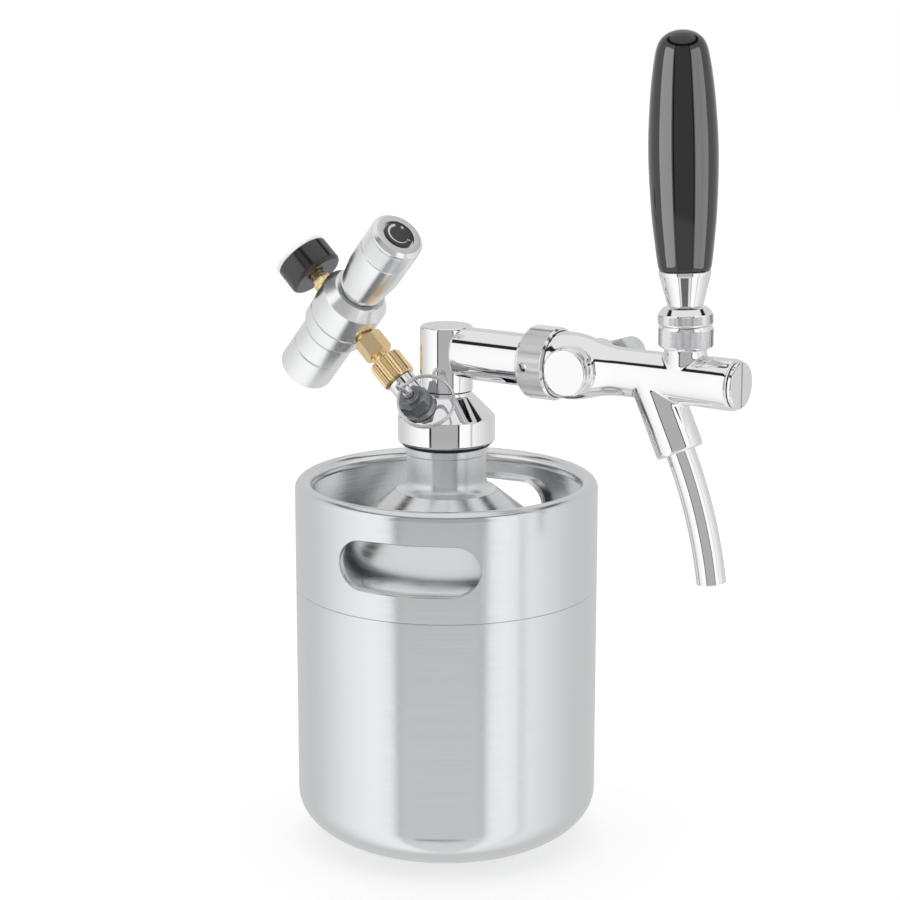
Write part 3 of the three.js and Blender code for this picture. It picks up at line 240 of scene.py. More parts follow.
chromed = (0.93, 0.93, 0.94)
finishes = {
    "brushed_steel": finish(
        "Brushed steel", (0.8, 0.81, 0.82), 0.21, 0.03, grain=900, stretch=(0.02, 0.02, 1),
        lift=0.001, shift=0.03,
    ),
    "polished_steel": finish(
        "Turned steel", (0.86, 0.87, 0.88), 0.3, 0.0, shift=0.0, Anisotropic=0.88, Anisotropic_Rotation=0.25
    ),
    "chrome": finish("Chrome", chromed, 0.035, 0.015, grain=60),
    "knurled_chrome": finish("Knurled chrome", chromed, 0.12, 0.02, grain=60),
    "inner_steel": finish("Inner steel", (0.78, 0.78, 0.8), 0.2, 0.05, grain=700, lift=0.001),
    "satin_aluminium": finish(
        "Satin aluminium", (0.96, 0.965, 0.97), 0.25, 0.02, grain=1200, lift=0.0001, shift=0.03
    ),
    "brass": finish("Brass", (0.98, 0.75, 0.42), 0.19, 0.04, grain=500, lift=0.0008),
    "dark_nickel": finish("Dark nickel", (0.4, 0.41, 0.42), 0.34, 0.03, grain=300, lift=0.0005),
    "black_rubber": finish(
        "Black rubber", (0.02, 0.02, 0.02), 0.6, 0.08, 0.0, grain=900, lift=0.01, shift=0.3
    ),
    "black_gloss": finish(
        "Black lacquer", (0.005, 0.005, 0.006), 0.07, 0.02, 0.0, grain=90, IOR=1.6, Coat_Weight=0.3
    ),
    "black_plastic": finish(
        "Black plastic", (0.02, 0.021, 0.023), 0.14, 0.03, 0.0, grain=700, lift=0.0006, shift=0.3, IOR=1.7
    ),
    "white_enamel": finish("White enamel", (0.85, 0.85, 0.83), 0.35, 0.05, 0.0, grain=200, shift=0.03),
    "clear_plastic": finish(
        "Clear plastic", (0.97, 0.98, 0.98), 0.04, 0.01, 0.0, grain=90, shift=0.01,
        Transmission_Weight=0.95, IOR=1.49, Alpha=0.35,
    ),
}
print(len(finishes), "finishes")

# %% [markdown]
# ## Places
# All sizes below are in millimetres. A piece is modelled lying on its own axis and then set in place by a
# matrix. The same few places as on the real object serve every piece: upright on the keg, along the tap's
# arm, across it, down the spout, up the handle, and out along the two slanted ports.


# %% Places
def at(x=0, y=0, z=0):
    return Matrix.Translation((x, y, z))


def turned_by(angle, axis):
    return Matrix.Rotation(radians(angle), 4, axis)


arm_height, pivot = 215, (114.6, 230)
UPRIGHT = Matrix.Identity(4)
ARM = at(z=arm_height) @ turned_by(90, "Y")
ACROSS = at(68, 0, arm_height) @ turned_by(-90, "X")
SPOUT = at(99.6, 0, arm_height) @ turned_by(180 - 24.6, "Y")
BONNET = at(pivot[0], 0, pivot[1])
HANDLE = BONNET @ turned_by(-2.2, "Y")
INLET = at(z=177) @ turned_by(181.3, "Z") @ turned_by(46, "Y")
RELIEF = at(z=177) @ turned_by(-99, "Z") @ turned_by(46, "Y")
SWIVEL = INLET @ at(z=72.4) @ turned_by(-12.8, "Z")
REGULATOR = SWIVEL @ turned_by(-90, "Y")
RING = RELIEF @ at(z=36.2) @ turned_by(85, "Z") @ turned_by(30, "Y")
print("places ready")

# %% [markdown]
# ## The lathe
# A profile is a line of points, each a radius and a height. Blender's spin carries it once round. The
# corners are then bevelled by a fraction of a millimetre, because a real edge is never sharp, and the
# bevel is what catches the light.


# %% Lathe, rounding and outlines
def rounded(shape, width, from_angle=24, segments=2):
    """Bevels every edge that turns by more than from_angle."""
    sharp = [e for e in shape.edges if e.is_manifold and e.calc_face_angle() > radians(from_angle)]
    if sharp and width:
        bmesh.ops.bevel(
            shape,
            geom=sharp,
            offset=width,
            offset_type="OFFSET",
            segments=segments,
            profile=0.5,
            affect="EDGES",
            clamp_overlap=True,
            material=-1,
        )
    return shape


def spun(profile, soft=0.2, steps=96):
    shape = bmesh.new()
    dots = [shape.verts.new((radius, 0, z)) for radius, z in profile]
    closed = dots if profile[0][0] == profile[-1][0] == 0 else dots + dots[:1]
    outline = [shape.edges.new(pair) for pair in zip(closed, closed[1:])]
    bmesh.ops.spin(
        shape, geom=dots + outline, cent=(0, 0, 0), axis=(0, 0, 1), angle=tau, steps=steps, use_merge=True
    )
    bmesh.ops.remove_doubles(shape, verts=shape.verts, dist=0.0001)
    bmesh.ops.recalc_face_normals(shape, faces=shape.faces)
    return rounded(shape, soft)


def bar(radius, low, high, soft=0.0, steps=64):
    return spun([(0, low), (radius, low), (radius, high), (0, high)], soft, steps)


def tube(bore, radius, low, high, soft=0.2, steps=64):
    return spun([(bore, low), (radius, low), (radius, high), (bore, high)], soft, steps)


def arc(centre, radii, start, end, steps):
    """Points on a quarter or part of an ellipse."""
    angles = [radians(start + (end - start) * i / steps) for i in range(steps + 1)]
    return [(centre[0] + radii[0] * cos(a), centre[1] + radii[1] * sin(a)) for a in angles]


def flowing(points, steps=6):
    """A smooth line through all the points."""
    dots = [Vector((x, y, 0)) for x, y in points]
    dots = [dots[0]] + dots + [dots[-1]]
    line = [points[0]]
    for before, a, b, after in zip(dots, dots[1:], dots[2:], dots[3:]):
        curve = geometry.interpolate_bezier(a, a + (b - before) / 6, b - (after - a) / 6, b, steps + 1)
        line += [(p.x, p.y) for p in curve[1:]]
    return line


def rows(low, high, count):
    return [low + (high - low) * i / count for i in range(count + 1)]


# %% [markdown]
# ## Cutting and joining
# Holes and slots are cut with an exact boolean, just as they are milled into the turned piece. Two
# bmeshes become two short-lived objects, the modifier does its work, and the result comes back.


# %% Boolean
def worked(body, tool, operation="DIFFERENCE", place=UPRIGHT):
    """The body with the tool cut out of it, joined to it or kept in common with it."""
    bmesh.ops.transform(tool, matrix=place, verts=tool.verts)
    pair = []
    for shape in (body, tool):
        mesh = bpy.data.meshes.new("work")
        shape.to_mesh(mesh)
        shape.free()
        pair.append(bpy.data.objects.new("work", mesh))
        scene.collection.objects.link(pair[-1])
    cut = pair[0].modifiers.new("Cut", "BOOLEAN")
    cut.operation, cut.object, cut.solver = operation, pair[1], "EXACT"
    seen_by = bpy.context.evaluated_depsgraph_get()
    result = bmesh.new()
    result.from_mesh(bpy.data.meshes.new_from_object(pair[0].evaluated_get(seen_by)))
    for thing in pair:
        bpy.data.meshes.remove(thing.data)
    return result


# %% [markdown]
# ## From shape to piece
# One function finishes every piece: it sets the shape in its place, turns millimetres into metres, shades
# it smoothly apart from its real corners, gives it its finish, hangs it on its body and hides the node it
# stands for. A finish goes by the name of its slot unless look names another. The weighted normals keep flat
# faces flat beside their bevels, which mirror chrome needs.


# %% Making a piece
def made(name, shape, place, slot, node=None, body=None, corner=38, weighted=True, look=None):
    bmesh.ops.transform(shape, matrix=Matrix.Scale(0.001, 4) @ place, verts=shape.verts)
    mesh = bpy.data.meshes.new(name)
    shape.to_mesh(mesh)
    shape.free()
    mesh.materials.append(finishes[look or slot])
    mesh.shade_smooth()
    mesh.set_sharp_from_angle(angle=radians(corner))
    piece = bpy.data.objects.new(name, mesh)
    scene.collection.objects.link(piece)
    if weighted:
        piece.modifiers.new("Even shading", "WEIGHTED_NORMAL").keep_sharp = True
    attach(piece, body or body_of[node])
    if node:
        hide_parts(node)
    print(f"{name}: {len(mesh.polygons)} faces")
    return piece


# %% [markdown]
# ## Keg: the lower shell
# The vessel is a deep-drawn steel cup with a generously rounded foot. Its wall is 1.2 mm thick, so the
# profile goes up the outside and comes back down the inside.

# %% Lower shell
keg_radius, wall, weld, gap = 65, 1.2, 113.2, 0.04
foot = (31.2, 21.4)
outside = arc(foot, (33.8, 21.4), -90, 0, 20) + [(keg_radius, weld - gap / 2)]
inside = [(keg_radius - wall, weld - gap / 2)] + arc(foot, (33.8 - wall, 21.4 - wall), 0, -90, 20)
shell = spun([(0, 0)] + outside + inside + [(0, wall)], 0.25, 192)
made("lower_shell", shell, UPRIGHT, "brushed_steel", "keg_shell", corner=60)

# %% [markdown]
# ## Keg: the handle collar
# The upper collar ends in a rolled rim, and two long slots in it are the hand grips. The wall and the
# roll are one profile. The slots are cut by a bar with round ends.

# %% A bar with round ends
slot_half, slot_run, slot_height = 10.4, 19.6, 135.3
slot_turns = [-71.1, 108.9]


def stadium(shape, half, depth=0.0, count=48):
    """A loop with round ends in the plane x = depth, its length along y."""
    ring = bmesh.ops.create_circle(shape, segments=count, radius=half)["verts"]
    for dot in ring:
        along_y = slot_run if dot.co.x > 1e-5 else -slot_run if dot.co.x < -1e-5 else 0
        dot.co = (depth, dot.co.x + along_y, dot.co.y)
    return ring


def slot_cutter(grow):
    shape = bmesh.new()
    for depth in (40, 80):
        stadium(shape, slot_half + grow, depth)
    bmesh.ops.convex_hull(shape, input=shape.verts)
    bmesh.ops.recalc_face_normals(shape, faces=shape.faces)
    return shape


# %% Handle collar
roll, rim_top = 3.7, 159.7
roll_centre = (keg_radius - roll, rim_top - roll)
collar_profile = (
    [(keg_radius, weld + gap / 2)]
    + arc(roll_centre, (roll, roll), 0, 215, 22)
    + arc(roll_centre, (roll - wall, roll - wall), 215, 0, 16)
    + [(keg_radius - wall, weld + gap / 2)]
)
chime = spun(collar_profile, 0.25, 192)
for angle in slot_turns:
    chime = worked(chime, slot_cutter(0.7), place=at(z=slot_height) @ turned_by(angle, "Z"))
print("collar:", len(chime.faces), "faces after the slots")

# %% [markdown]
# The slots' edges are folded inwards so that they don't cut the hand. Each fold is a ring of loops with
# round ends, bridged one to the next, and every loop is pressed against the curve of the wall. A loop is
# given by how much wider it is than the slot and how far out from the keg's side it lies.

# %% Folded slot edges
fold = [(1.5, -0.25), (1.0, -0.02), (0.35, -0.06), (0.0, -0.6)]
fold += [(0.0, -4.0), (0.4, -4.4), (1.2, -4.2), (1.25, -1.0)]
for angle in slot_turns:
    hem = bmesh.new()
    loops = []
    for grow, out in fold:
        ring = stadium(hem, slot_half + grow)
        for dot in ring:
            dot.co.x = sqrt((keg_radius + out) ** 2 - dot.co.y**2)
        loops.append([e for e in hem.edges if e.verts[0] in ring and e.verts[1] in ring])
    for first, second in zip(loops, loops[1:] + loops[:1]):
        bmesh.ops.bridge_loops(hem, edges=first + second)
    bmesh.ops.recalc_face_normals(hem, faces=hem.faces)
    bmesh.ops.transform(hem, matrix=at(z=slot_height) @ turned_by(angle, "Z"), verts=hem.verts)
    folded = bpy.data.meshes.new("fold")
    hem.to_mesh(folded)
    hem.free()
    chime.from_mesh(folded)
made("handle_collar", chime, UPRIGHT, "brushed_steel", "keg_chime", corner=50)

# %% [markdown]
# ## Keg: dome and neck
# Inside the collar the vessel closes in a dome that rises to the neck. The neck flares where it is welded
# to the dome, carries a bead near its top, and ends in the smooth band that stands for the cap's thread.

# %% Dome and neck
edge, mouth = (63.5, weld + 3), (21.8, 154.9)
slope = (mouth[0] + 25 * cos(radians(40)), mouth[1] - 25 * sin(radians(40)))
handles = [Vector((*p, 0)) for p in (edge, (edge[0], edge[1] + 9), slope, mouth)]
curve = [(p.x, p.y) for p in geometry.interpolate_bezier(*handles, 28)]
dome_outside = [(edge[0], weld - 4)] + curve
dome_inside = [(r - wall * 0.8, z - wall * 0.75) for r, z in dome_outside]
dome = spun(dome_outside + dome_inside[::-1], 0.0, 128)
made("dome", dome, UPRIGHT, "brushed_steel", "keg_dome", corner=50)

flare = flowing([(21.75, 154.95), (18.8, 156.4), (17.3, 158.8), (17, 161.5)])
neck = spun(
    [(14.2, 158), (21, 153.9)] + flare + [(17, 170.9), (17.8, 171.2), (17.8, 174.1), (17.5, 174.4)]
    + [(16.3, 174.4), (16.3, 178), (14.2, 178)],
    0.15,
)
made("screw_neck", neck, UPRIGHT, "polished_steel", "keg_neck")
seal = spun([(16.6, 174.7), (18.9, 174.7), (19.2, 175), (19.2, 175.4), (18.9, 175.7), (16.6, 175.7)], 0.1)
made("neck_ring_seal", seal, UPRIGHT, "black_rubber", "neck_seal")

# %% [markdown]
# ## Head: cap and elbow
# The cap is a ring with a cone above it. Both slanted ports have a flat seat milled into the cone, cut
# here by a short bar along the port's axis. The elbow is a plain column with an eased top edge.

# %% Cap and elbow
cap = spun(
    [(16.8, 176), (20.3, 176), (20.8, 176.8), (20.8, 186.9), (20.1, 187.8), (11.9, 196.1), (11, 196.4)]
    + [(11, 198), (4.5, 198), (4.5, 188.5), (8.5, 188.5), (8.5, 179.5), (16.8, 179.5)],
    0.25,
    128,
)
for port in (INLET, RELIEF):
    for radius, low, high in ((2, 7, 18.2), (4.3, 17.2, 24), (7.4, 20.8, 42)):
        cap = worked(cap, bar(radius, low, high), place=port)
made("screw_cap", cap, UPRIGHT, "chrome", "dispenser_cap", corner=30)

elbow = spun([(4.5, 198.3), (11.3, 198.3), (11.3, 225), (10.6, 226), (0, 226), (0, 219.5), (4.5, 215)], 0.5)
elbow = worked(elbow, bar(5, 0, 14), place=ARM)
made("elbow_column", elbow, UPRIGHT, "chrome", "elbow")
made("dip_pipe", tube(3, 4, 5, 197.7, 0.15), UPRIGHT, "inner_steel", "dip_tube")

# %% [markdown]
# ## Knurling
# A knurled band is thousands of tiny pyramids pressed into the metal. A band of square faces is poked
# once, which draws its diagonals. Its own edges are then dissolved, so that diamonds are left, and each
# diamond is poked again and lifted to a point. A straight knurl is simpler: each tall face is inset and
# lifted into a rib.


# %% Knurls
def band(shape, low, high, radius):
    faces = []
    for face in shape.faces:
        middle = face.calc_center_median()
        if low < middle.z < high and middle.xy.length > radius:
            faces.append(face)
    return faces


def diamonds(shape, low, high, radius, lift=0.2):
    """Knurls the faces between low and high that lie further out than radius."""
    faces = band(shape, low, high, radius)
    inner = set(faces)
    between_two = {e for f in faces for e in f.edges if all(n in inner for n in e.link_faces)}
    bmesh.ops.poke(shape, faces=faces)
    bmesh.ops.dissolve_edges(shape, edges=list(between_two), use_verts=False)
    points = [f for f in band(shape, low, high, radius) if len(f.verts) == 4]
    bmesh.ops.poke(shape, faces=points, offset=lift)
    print(len(points), "diamonds")
    return shape


def ribs(shape, low, high, radius, width=0.1, lift=0.3):
    faces = band(shape, low, high, radius)
    bmesh.ops.inset_individual(shape, faces=faces, thickness=width, depth=lift, use_even_offset=True)
    print(len(faces), "ribs")
    return shape


# %% [markdown]
# ## Arm and collar nut
# The arm is a tube whose end is shaped to sit against the round column. The collar nut that holds the tap
# on it is knurled all over and has a blind hole for a pin spanner.

# %% Arm and collar nut
collar_start = 42.5
shank_end = collar_start + 6.8
shank = spun([(5, 0), (11, 0), (11, 46.3), (13, 46.3), (13, shank_end), (5, shank_end)], 0.15)
for dot in shank.verts:
    if dot.co.z < 1:
        dot.co.z = max(8.9, sqrt(11.6**2 - dot.co.y**2))
made("arm_tube", shank, ARM, "chrome", "shank_tube")

nut_root = 15.0
knurled = [(nut_root, z) for z in rows(44.3, 55.7, 15)]
nut = spun(
    [(11.3, collar_start), (13.2, collar_start)] + knurled + [(14.4, 56.5), (14, 56.5), (14, 46), (11.3, 46)],
    0.0,
    128,
)
nut = diamonds(nut, 44.35, 55.65, 14.5, 0.3)
nut = worked(nut, bar(1.9, -18, -12.4), place=at(0, 0, 47.5) @ turned_by(-90, "X"))
made("knurled_collar", nut, ARM, "chrome", "collar_nut", corner=25, look="knurled_chrome")
made("arm_washer", tube(5, 12.4, 49.6, 51.6, 0.3), ARM, "black_rubber", "shank_washer")

# %% [markdown]
# ## Tap body
# The tap is one chromed casting. Casting leaves a small round fillet wherever two forms meet. Four
# turned forms are joined, the bores are cut out, and a voxel remesh with light smoothing melts the inner
# corners into fillets, as polishing does on the real one.

# %% Tap body: outline
shoulder, nose, ball = 57.1, 137.7, 13.9
body_length = nose - shoulder
shares = [(0, 0.985), (0.04, 1), (0.1, 0.985), (0.17, 0.905)]
shares += [(0.24, 0.8), (0.32, 0.73), (0.44, 0.712), (0.6, 0.717)]
waisted = [(size * ball, shoulder + share * body_length) for share, size in shares]
outline = flowing(waisted + [(10.3, 125), (10.4, 132)])
onto_arm = ARM.inverted()
SADDLE = onto_arm @ at(pivot[0], 0, arm_height)
casting = spun(
    [(0, 51.9), (13.7, 51.9), (13.7, shoulder)] + outline + [(10.4, nose - 0.4), (10, nose), (0, nose)],
    0.0,
    96,
)
forms = [
    (bar(10.2, -14.4, 14.4), onto_arm @ ACROSS),
    (spun([(0, 0), (8.6, 0), (8.6, 13), (7.5, 13), (7.5, 18), (0, 18)], 0.0, 64), SADDLE),
    (spun([(0, 0), (9.8, 0), (9.8, 32.2), (9.0, 33), (0, 33)], 0.0, 64), onto_arm @ SPOUT),
]
for form, place in forms:
    casting = worked(casting, form, "UNION", place)
print("casting:", len(casting.faces), "faces")

# %% Tap body: bores
bores = [
    (bar(6.5, 50, 96.5), UPRIGHT),
    (bar(4.4, 95, 101), UPRIGHT),
    (bar(5.3, 98.4, 132), UPRIGHT),
    (bar(7.3, 130, 140), UPRIGHT),
    (bar(4.3, -11.95, 16.5), onto_arm @ ACROSS),
    (bar(7.3, -16.5, -11.9), onto_arm @ ACROSS),
    (bar(5.8, 0, 20), SADDLE),
    (bar(4.5, 0, 21), onto_arm @ SPOUT),
    (bar(6.3, 18.6, 35), onto_arm @ SPOUT),
]
for bore, place in bores:
    casting = worked(casting, bore, place=place)
print("bored casting:", len(casting.faces), "faces")

# %% [markdown]
# The lever's finger swings in the bore, so a wedge is cut out for it: a square floor that is pulled long
# to the back, and above it, at the ball, a shorter roof.

# %% Tap body: room for the finger
finger_room = bmesh.new()
bmesh.ops.create_grid(finger_room, x_segments=1, y_segments=1, size=3.0)
for dot in finger_room.verts:
    dot.co = (3.8 if dot.co.x > 0 else -14.5, dot.co.y, -20.3)
roof = bmesh.ops.extrude_face_region(finger_room, geom=finger_room.faces[:])["geom"]
for dot in [v for v in roof if isinstance(v, bmesh.types.BMVert)]:
    dot.co = (3.3 if dot.co.x > 0 else -4.8, dot.co.y, 0)
bmesh.ops.recalc_face_normals(finger_room, faces=finger_room.faces)
casting = worked(casting, finger_room, place=onto_arm @ BONNET)
print("casting with room for the finger:", len(casting.faces), "faces")


# %% Tap body: fillets
def melted(shape, grain, rounds):
    """Remeshes a shape in cubes of grain millimetres and smooths it, so that inner corners become fillets."""
    mesh = bpy.data.meshes.new("melt")
    shape.to_mesh(mesh)
    shape.free()
    lump = bpy.data.objects.new("melt", mesh)
    scene.collection.objects.link(lump)
    remesh = lump.modifiers.new("Melt", "REMESH")
    remesh.mode, remesh.voxel_size = "VOXEL", grain
    smooth = lump.modifiers.new("Polish", "SMOOTH")
    smooth.factor, smooth.iterations = 0.5, rounds
    seen_by = bpy.context.evaluated_depsgraph_get()
    result = bmesh.new()
    result.from_mesh(bpy.data.meshes.new_from_object(lump.evaluated_get(seen_by)))
    bpy.data.meshes.remove(mesh)
    return result


casting = melted(casting, 0.5, 7)
made("tap_casting", casting, ARM, "chrome", "tap_body", corner=60, weighted=False)

# %% [markdown]
# ## Flow control
# A plain disc closes the near side of the cross bore. On the far side a short lever turns the cranked
# shaft, which slides the cone plug in the ball. The lever is the hull of two discs, a wide one on the
# shaft and a smaller one at the thumb.

# %% Flow control
disc = spun(
    [(0, -16.3), (9.3, -16.3), (9.7, -15.9), (9.7, -14.7), (7, -14.7), (7, -12.2), (0, -12.2)], 0.15, 96
)
made("blind_disc", disc, ACROSS, "chrome", "flow_boss_cap", corner=30)

lever = bmesh.new()
for radius, x, z in ((7.6, 0, 0), (6.4, 11.6, -4.8)):
    for depth in (14.7, 19.1):
        ring = bmesh.ops.create_circle(lever, segments=48, radius=radius)["verts"]
        bmesh.ops.translate(lever, verts=ring, vec=(x, z, depth))
bmesh.ops.convex_hull(lever, input=lever.verts)
bmesh.ops.recalc_face_normals(lever, faces=lever.faces)
lever = rounded(lever, 1.1, 40, 4)
lever = worked(lever, bar(4.3, 10, 25))
made("flow_thumb_lever", lever, ACROSS, "brushed_steel", "flow_lever", corner=50)

crank = at(0, -1.5, 0)
cranked = bar(4, -11.6, -6.8, 0.2, 48)
cranked = worked(cranked, bar(2.6, -7.1, 7.1, 0, 48), "UNION", crank)
cranked = worked(cranked, bar(4, 6.8, 20.4, 0.5, 48), "UNION")
made("cranked_shaft", cranked, ACROSS, "inner_steel", "flow_shaft", corner=30)

# %% [markdown]
# ## Bonnet nut and lock ring
# The bonnet nut holds the handle's ball. Its top is a dome with a slot in front, along which the stem
# tilts. The lock ring is a cup that slides over that dome with the handle. Both are knurled.


# %% Bonnet nut and lock ring
def dome_line(radius, start, end, steps):
    return [(radius * cos(a), radius * sin(a)) for a in rows(start, end, steps)]


nut_foot, rim, dome_radius, knurl_root = -1.7, 6.3, 12.676, 10.85
knurled = [(knurl_root, z) for z in rows(-1.2, 5.9, 10)]
dome_top = dome_line(dome_radius, atan2(rim, 11), pi / 2, 12)[1:-1] + [(0, dome_radius)]
bonnet = spun(
    [(7.8, nut_foot), (10.4, nut_foot)] + knurled + [(10.75, rim)] + dome_top + [(0, 6.5), (7.8, 3.3)],
    0.0,
    104,
)
bonnet = diamonds(bonnet, -1.15, 5.85, 10.5, 0.3)
stem_slot = bmesh.new()
forward, reach, behind, ahead, half_width = radians(32.8), dome_radius + 2, -3, 3.57, 3.3
front_top = (reach * sin(forward) + ahead, reach * cos(forward))
back_top = (behind - reach * 0.04, reach)
for x, z in ((behind, 0), (ahead, 0), front_top, back_top):
    for y in (-half_width, half_width):
        stem_slot.verts.new((x, y, z))
bmesh.ops.convex_hull(stem_slot, input=stem_slot.verts)
bmesh.ops.recalc_face_normals(stem_slot, faces=stem_slot.faces)
bonnet = worked(bonnet, stem_slot)
made("knurled_bonnet", bonnet, BONNET, "chrome", "bonnet_nut", corner=25, look="knurled_chrome")

cup = dome_radius + 0.3
skirt, crown, stem_hole = 7.2, 13.98, 3.0
cup_line = dome_line(cup, acos(stem_hole / cup), acos(sqrt(1 - (skirt / cup) ** 2)), 10)
knurled = [(knurl_root, z) for z in rows(7.6, 11.4, 5)]
outer_line = [(10.7, skirt)] + knurled + [(10.8, 11.7), (9.2, crown - 0.3), (8.8, crown)]
ring = spun(cup_line + outer_line + [(stem_hole, crown)], 0.0, 104)
ring = diamonds(ring, 7.65, 11.35, 10.5, 0.3)
made("knurled_lock_ring", ring, HANDLE, "chrome", "lock_ring", corner=25)

# %% [markdown]
# ## Handle
# The chrome ferrule widens up to the grip. The grip is a slim barrel in black lacquer, one flowing line
# from its foot to its rounded crown. The ball lever inside carries both.

# %% Handle
taper = [(6.7, 14.3), (7.1, 14.7), (10.3, 26.8), (10.4, 27.4), (10.4, 28.4), (10.1, 28.7)]
ferrule = spun([(stem_hole, 14.3)] + taper + [(stem_hole, 28.7)], 0.12, 128)
made("tapered_ferrule", ferrule, HANDLE, "chrome", "ferrule", corner=30)

grip_foot, grip_length, grip_radius = 29, 93.4, 13.8
grip_shares = [(0.012, 0.765), (0.03, 0.785), (0.09, 0.835), (0.26, 0.945), (0.5, 1)]
grip_shares += [(0.72, 0.925), (0.88, 0.79), (0.95, 0.655), (0.985, 0.42), (0.9985, 0.17)]
belly = flowing([(size * grip_radius, grip_foot + share * grip_length) for share, size in grip_shares])
grip = spun(
    [(stem_hole, grip_foot), (10.2, grip_foot)] + belly
    + [(0, grip_foot + grip_length), (0, 35), (stem_hole, 35)],
    0.0,
    128,
)
barrel = made("grip_barrel", grip, HANDLE, "black_gloss", "grip", corner=50)
ball_line = arc((0, 0), (5.2, 5.2), -72, 58.7, 16)
finger = [(0, -17.4)] + arc((0, -15), (2.4, 2.4), -85, 48, 8)
stem = spun(finger + ball_line + [(2.7, 34), (0, 34)], 0.0, 64)
made("ball_lever", stem, HANDLE, "inner_steel", "handle_lever", corner=50)

# %% [markdown]
# ## Strip lights for the grip
# Black lacquer swallows most of the tent, so two soft boxes stand to the left and the right of the grip
# for the grip alone. Their sizes and distances are in metres, their angles count from the camera.

# %% Strip lights
lit = bpy.data.collections.new("Lit by the strips")
lit.objects.link(barrel)
grip_middle = sum((Vector(corner) for corner in barrel.bound_box), Vector()) / 8
strip_height, strip_distance, strip_level = 0.62, 0.55, 0.33
for name, angle, width, watts in (("left strip", -67, 0.46, 2.5), ("right strip", 58, 0.5, 1.8)):
    light = bpy.data.lights.new(name, "AREA")
    light.shape, light.size, light.size_y, light.energy = "RECTANGLE", width, strip_height, watts
    strip = bpy.data.objects.new(name, light)
    turned = Matrix.Rotation(radians(angle), 3, "Z") @ toward_camera
    strip.location = grip_middle + turned * strip_distance
    strip.location.z = strip_level
    strip.rotation_euler = (-turned).to_track_quat("-Z", "Y").to_euler()
    strip.visible_camera = False
    strip.light_linking.receiver_collection = lit
    scene.collection.objects.link(strip)

# %% [markdown]
# ## End cap and spout
# A slotted cap closes the nose. The spout is a bent tube: a circle carried along a Bezier curve, given
# the tube's wall by Solidify, and open at its end.

# %% End cap
end_cap = spun(
    [(0, 130.3), (7, 130.3), (7, 138), (9.3, 138), (9.5, 138.3), (9.5, 139.3), (9.1, 139.8), (0, 139.9)],
    0.1,
    96,
)
groove = bmesh.new()
bmesh.ops.create_cube(groove, size=1)
bmesh.ops.scale(groove, verts=groove.verts, vec=(24, 1.2, 2))
end_cap = worked(end_cap, groove, place=at(z=139.9))
made("slotted_cap", end_cap, ARM, "chrome", "end_cap", corner=30)

# %% Spout
spout_line = bpy.data.curves.new("spout", "CURVE")
spout_line.dimensions, spout_line.bevel_depth, spout_line.bevel_resolution = "3D", 6.0, 10
spout_line.resolution_u = 24
down, last = (Vector((sin(radians(lean)), 0, -cos(radians(lean)))) for lean in (24.6, 8))
axis_start = Vector((99.6, 0, arm_height))
bend, mouth_end = axis_start + down * 33.3, Vector((128.6, 0, 133))
stops = [
    (axis_start + down * 20.5, down * 4, down * 4),
    (bend, down * 4, down * 16),
    (mouth_end, last * 20, last),
]
spline = spout_line.splines.new("BEZIER")
spline.bezier_points.add(len(stops) - 1)
for stop, (co, back, ahead) in zip(spline.bezier_points, stops):
    stop.co, stop.handle_left, stop.handle_right = co, co - back, co + ahead
path = bpy.data.objects.new("spout", spout_line)
spout = bmesh.new()
spout.from_mesh(bpy.data.meshes.new_from_object(path))
bpy.data.objects.remove(path)
bmesh.ops.remove_doubles(spout, verts=spout.verts, dist=0.001)
bmesh.ops.recalc_face_normals(spout, faces=spout.faces)
bmesh.ops.solidify(spout, geom=spout.faces[:], thickness=0.8)
made("bent_spout", spout, UPRIGHT, "chrome", "spout_tube", corner=50)

# %% [markdown]
# ## Gas line
# The gas comes in through the slanted port on the left. A knurled brass nut draws the fitting's flange
# onto the stub. A hexagon is a six-sided bar whose corners are turned off on the lathe.


# %% Hexagons
def hexagon(across, low, high, chamfer=0.5):
    bar_stock = bmesh.new()
    corner = across / sqrt(3)
    size = {"radius1": corner, "radius2": corner, "depth": high - low}
    bmesh.ops.create_cone(bar_stock, cap_ends=True, segments=6, matrix=at(z=(low + high) / 2), **size)
    eased = [(0, low), (across / 2 - 0.1, low), (corner, low + chamfer), (corner, high - chamfer)]
    eased += [(across / 2 - 0.1, high), (0, high)]
    return worked(bar_stock, spun(eased, 0, 96), "INTERSECT")


# %% Gas line
stub = spun(
    [(1.5, 17.5), (4, 17.5), (4, 21.1), (6.2, 21.1), (6.2, 32.4), (5, 32.4), (5, 37), (1.5, 37)], 0.2
)
made("inlet_stub", stub, INLET, "chrome", "gas_inlet_stub")

nut = spun(
    [(5.3, 32.7), (6.8, 32.7), (7.2, 33.2), (7.2, 43.9), (6.8, 44.4), (3.5, 44.4), (3.5, 39.5), (5.3, 39.5)],
    0.0,
    36,
)
made("ribbed_gas_nut", ribs(nut, 34, 43, 7, 0.42, 0.4), INLET, "brass", "gas_nut", corner=25)

fitting = spun(
    [(1.5, 37.4), (5, 37.4), (5, 39.2), (3.2, 39.2), (3.2, 54), (4.2, 54), (4.2, 61.4), (1.5, 61.4)], 0.15
)
hexed = worked(hexagon(11.3, 47, 57.2, 0.9), bar(3.1, 40, 60))
fitting = worked(fitting, hexed, "UNION")
made("hex_fitting", rounded(fitting, 0.12, 35), INLET, "brass", "gas_fitting", corner=20)

# %% [markdown]
# ## Regulator
# The body, the socket for the cartridge and the knob lie on one slanted axis. The knob has a fine knurl
# near its top and a badge let into its end. Under it the spring presses on the plate that sets the
# pressure.


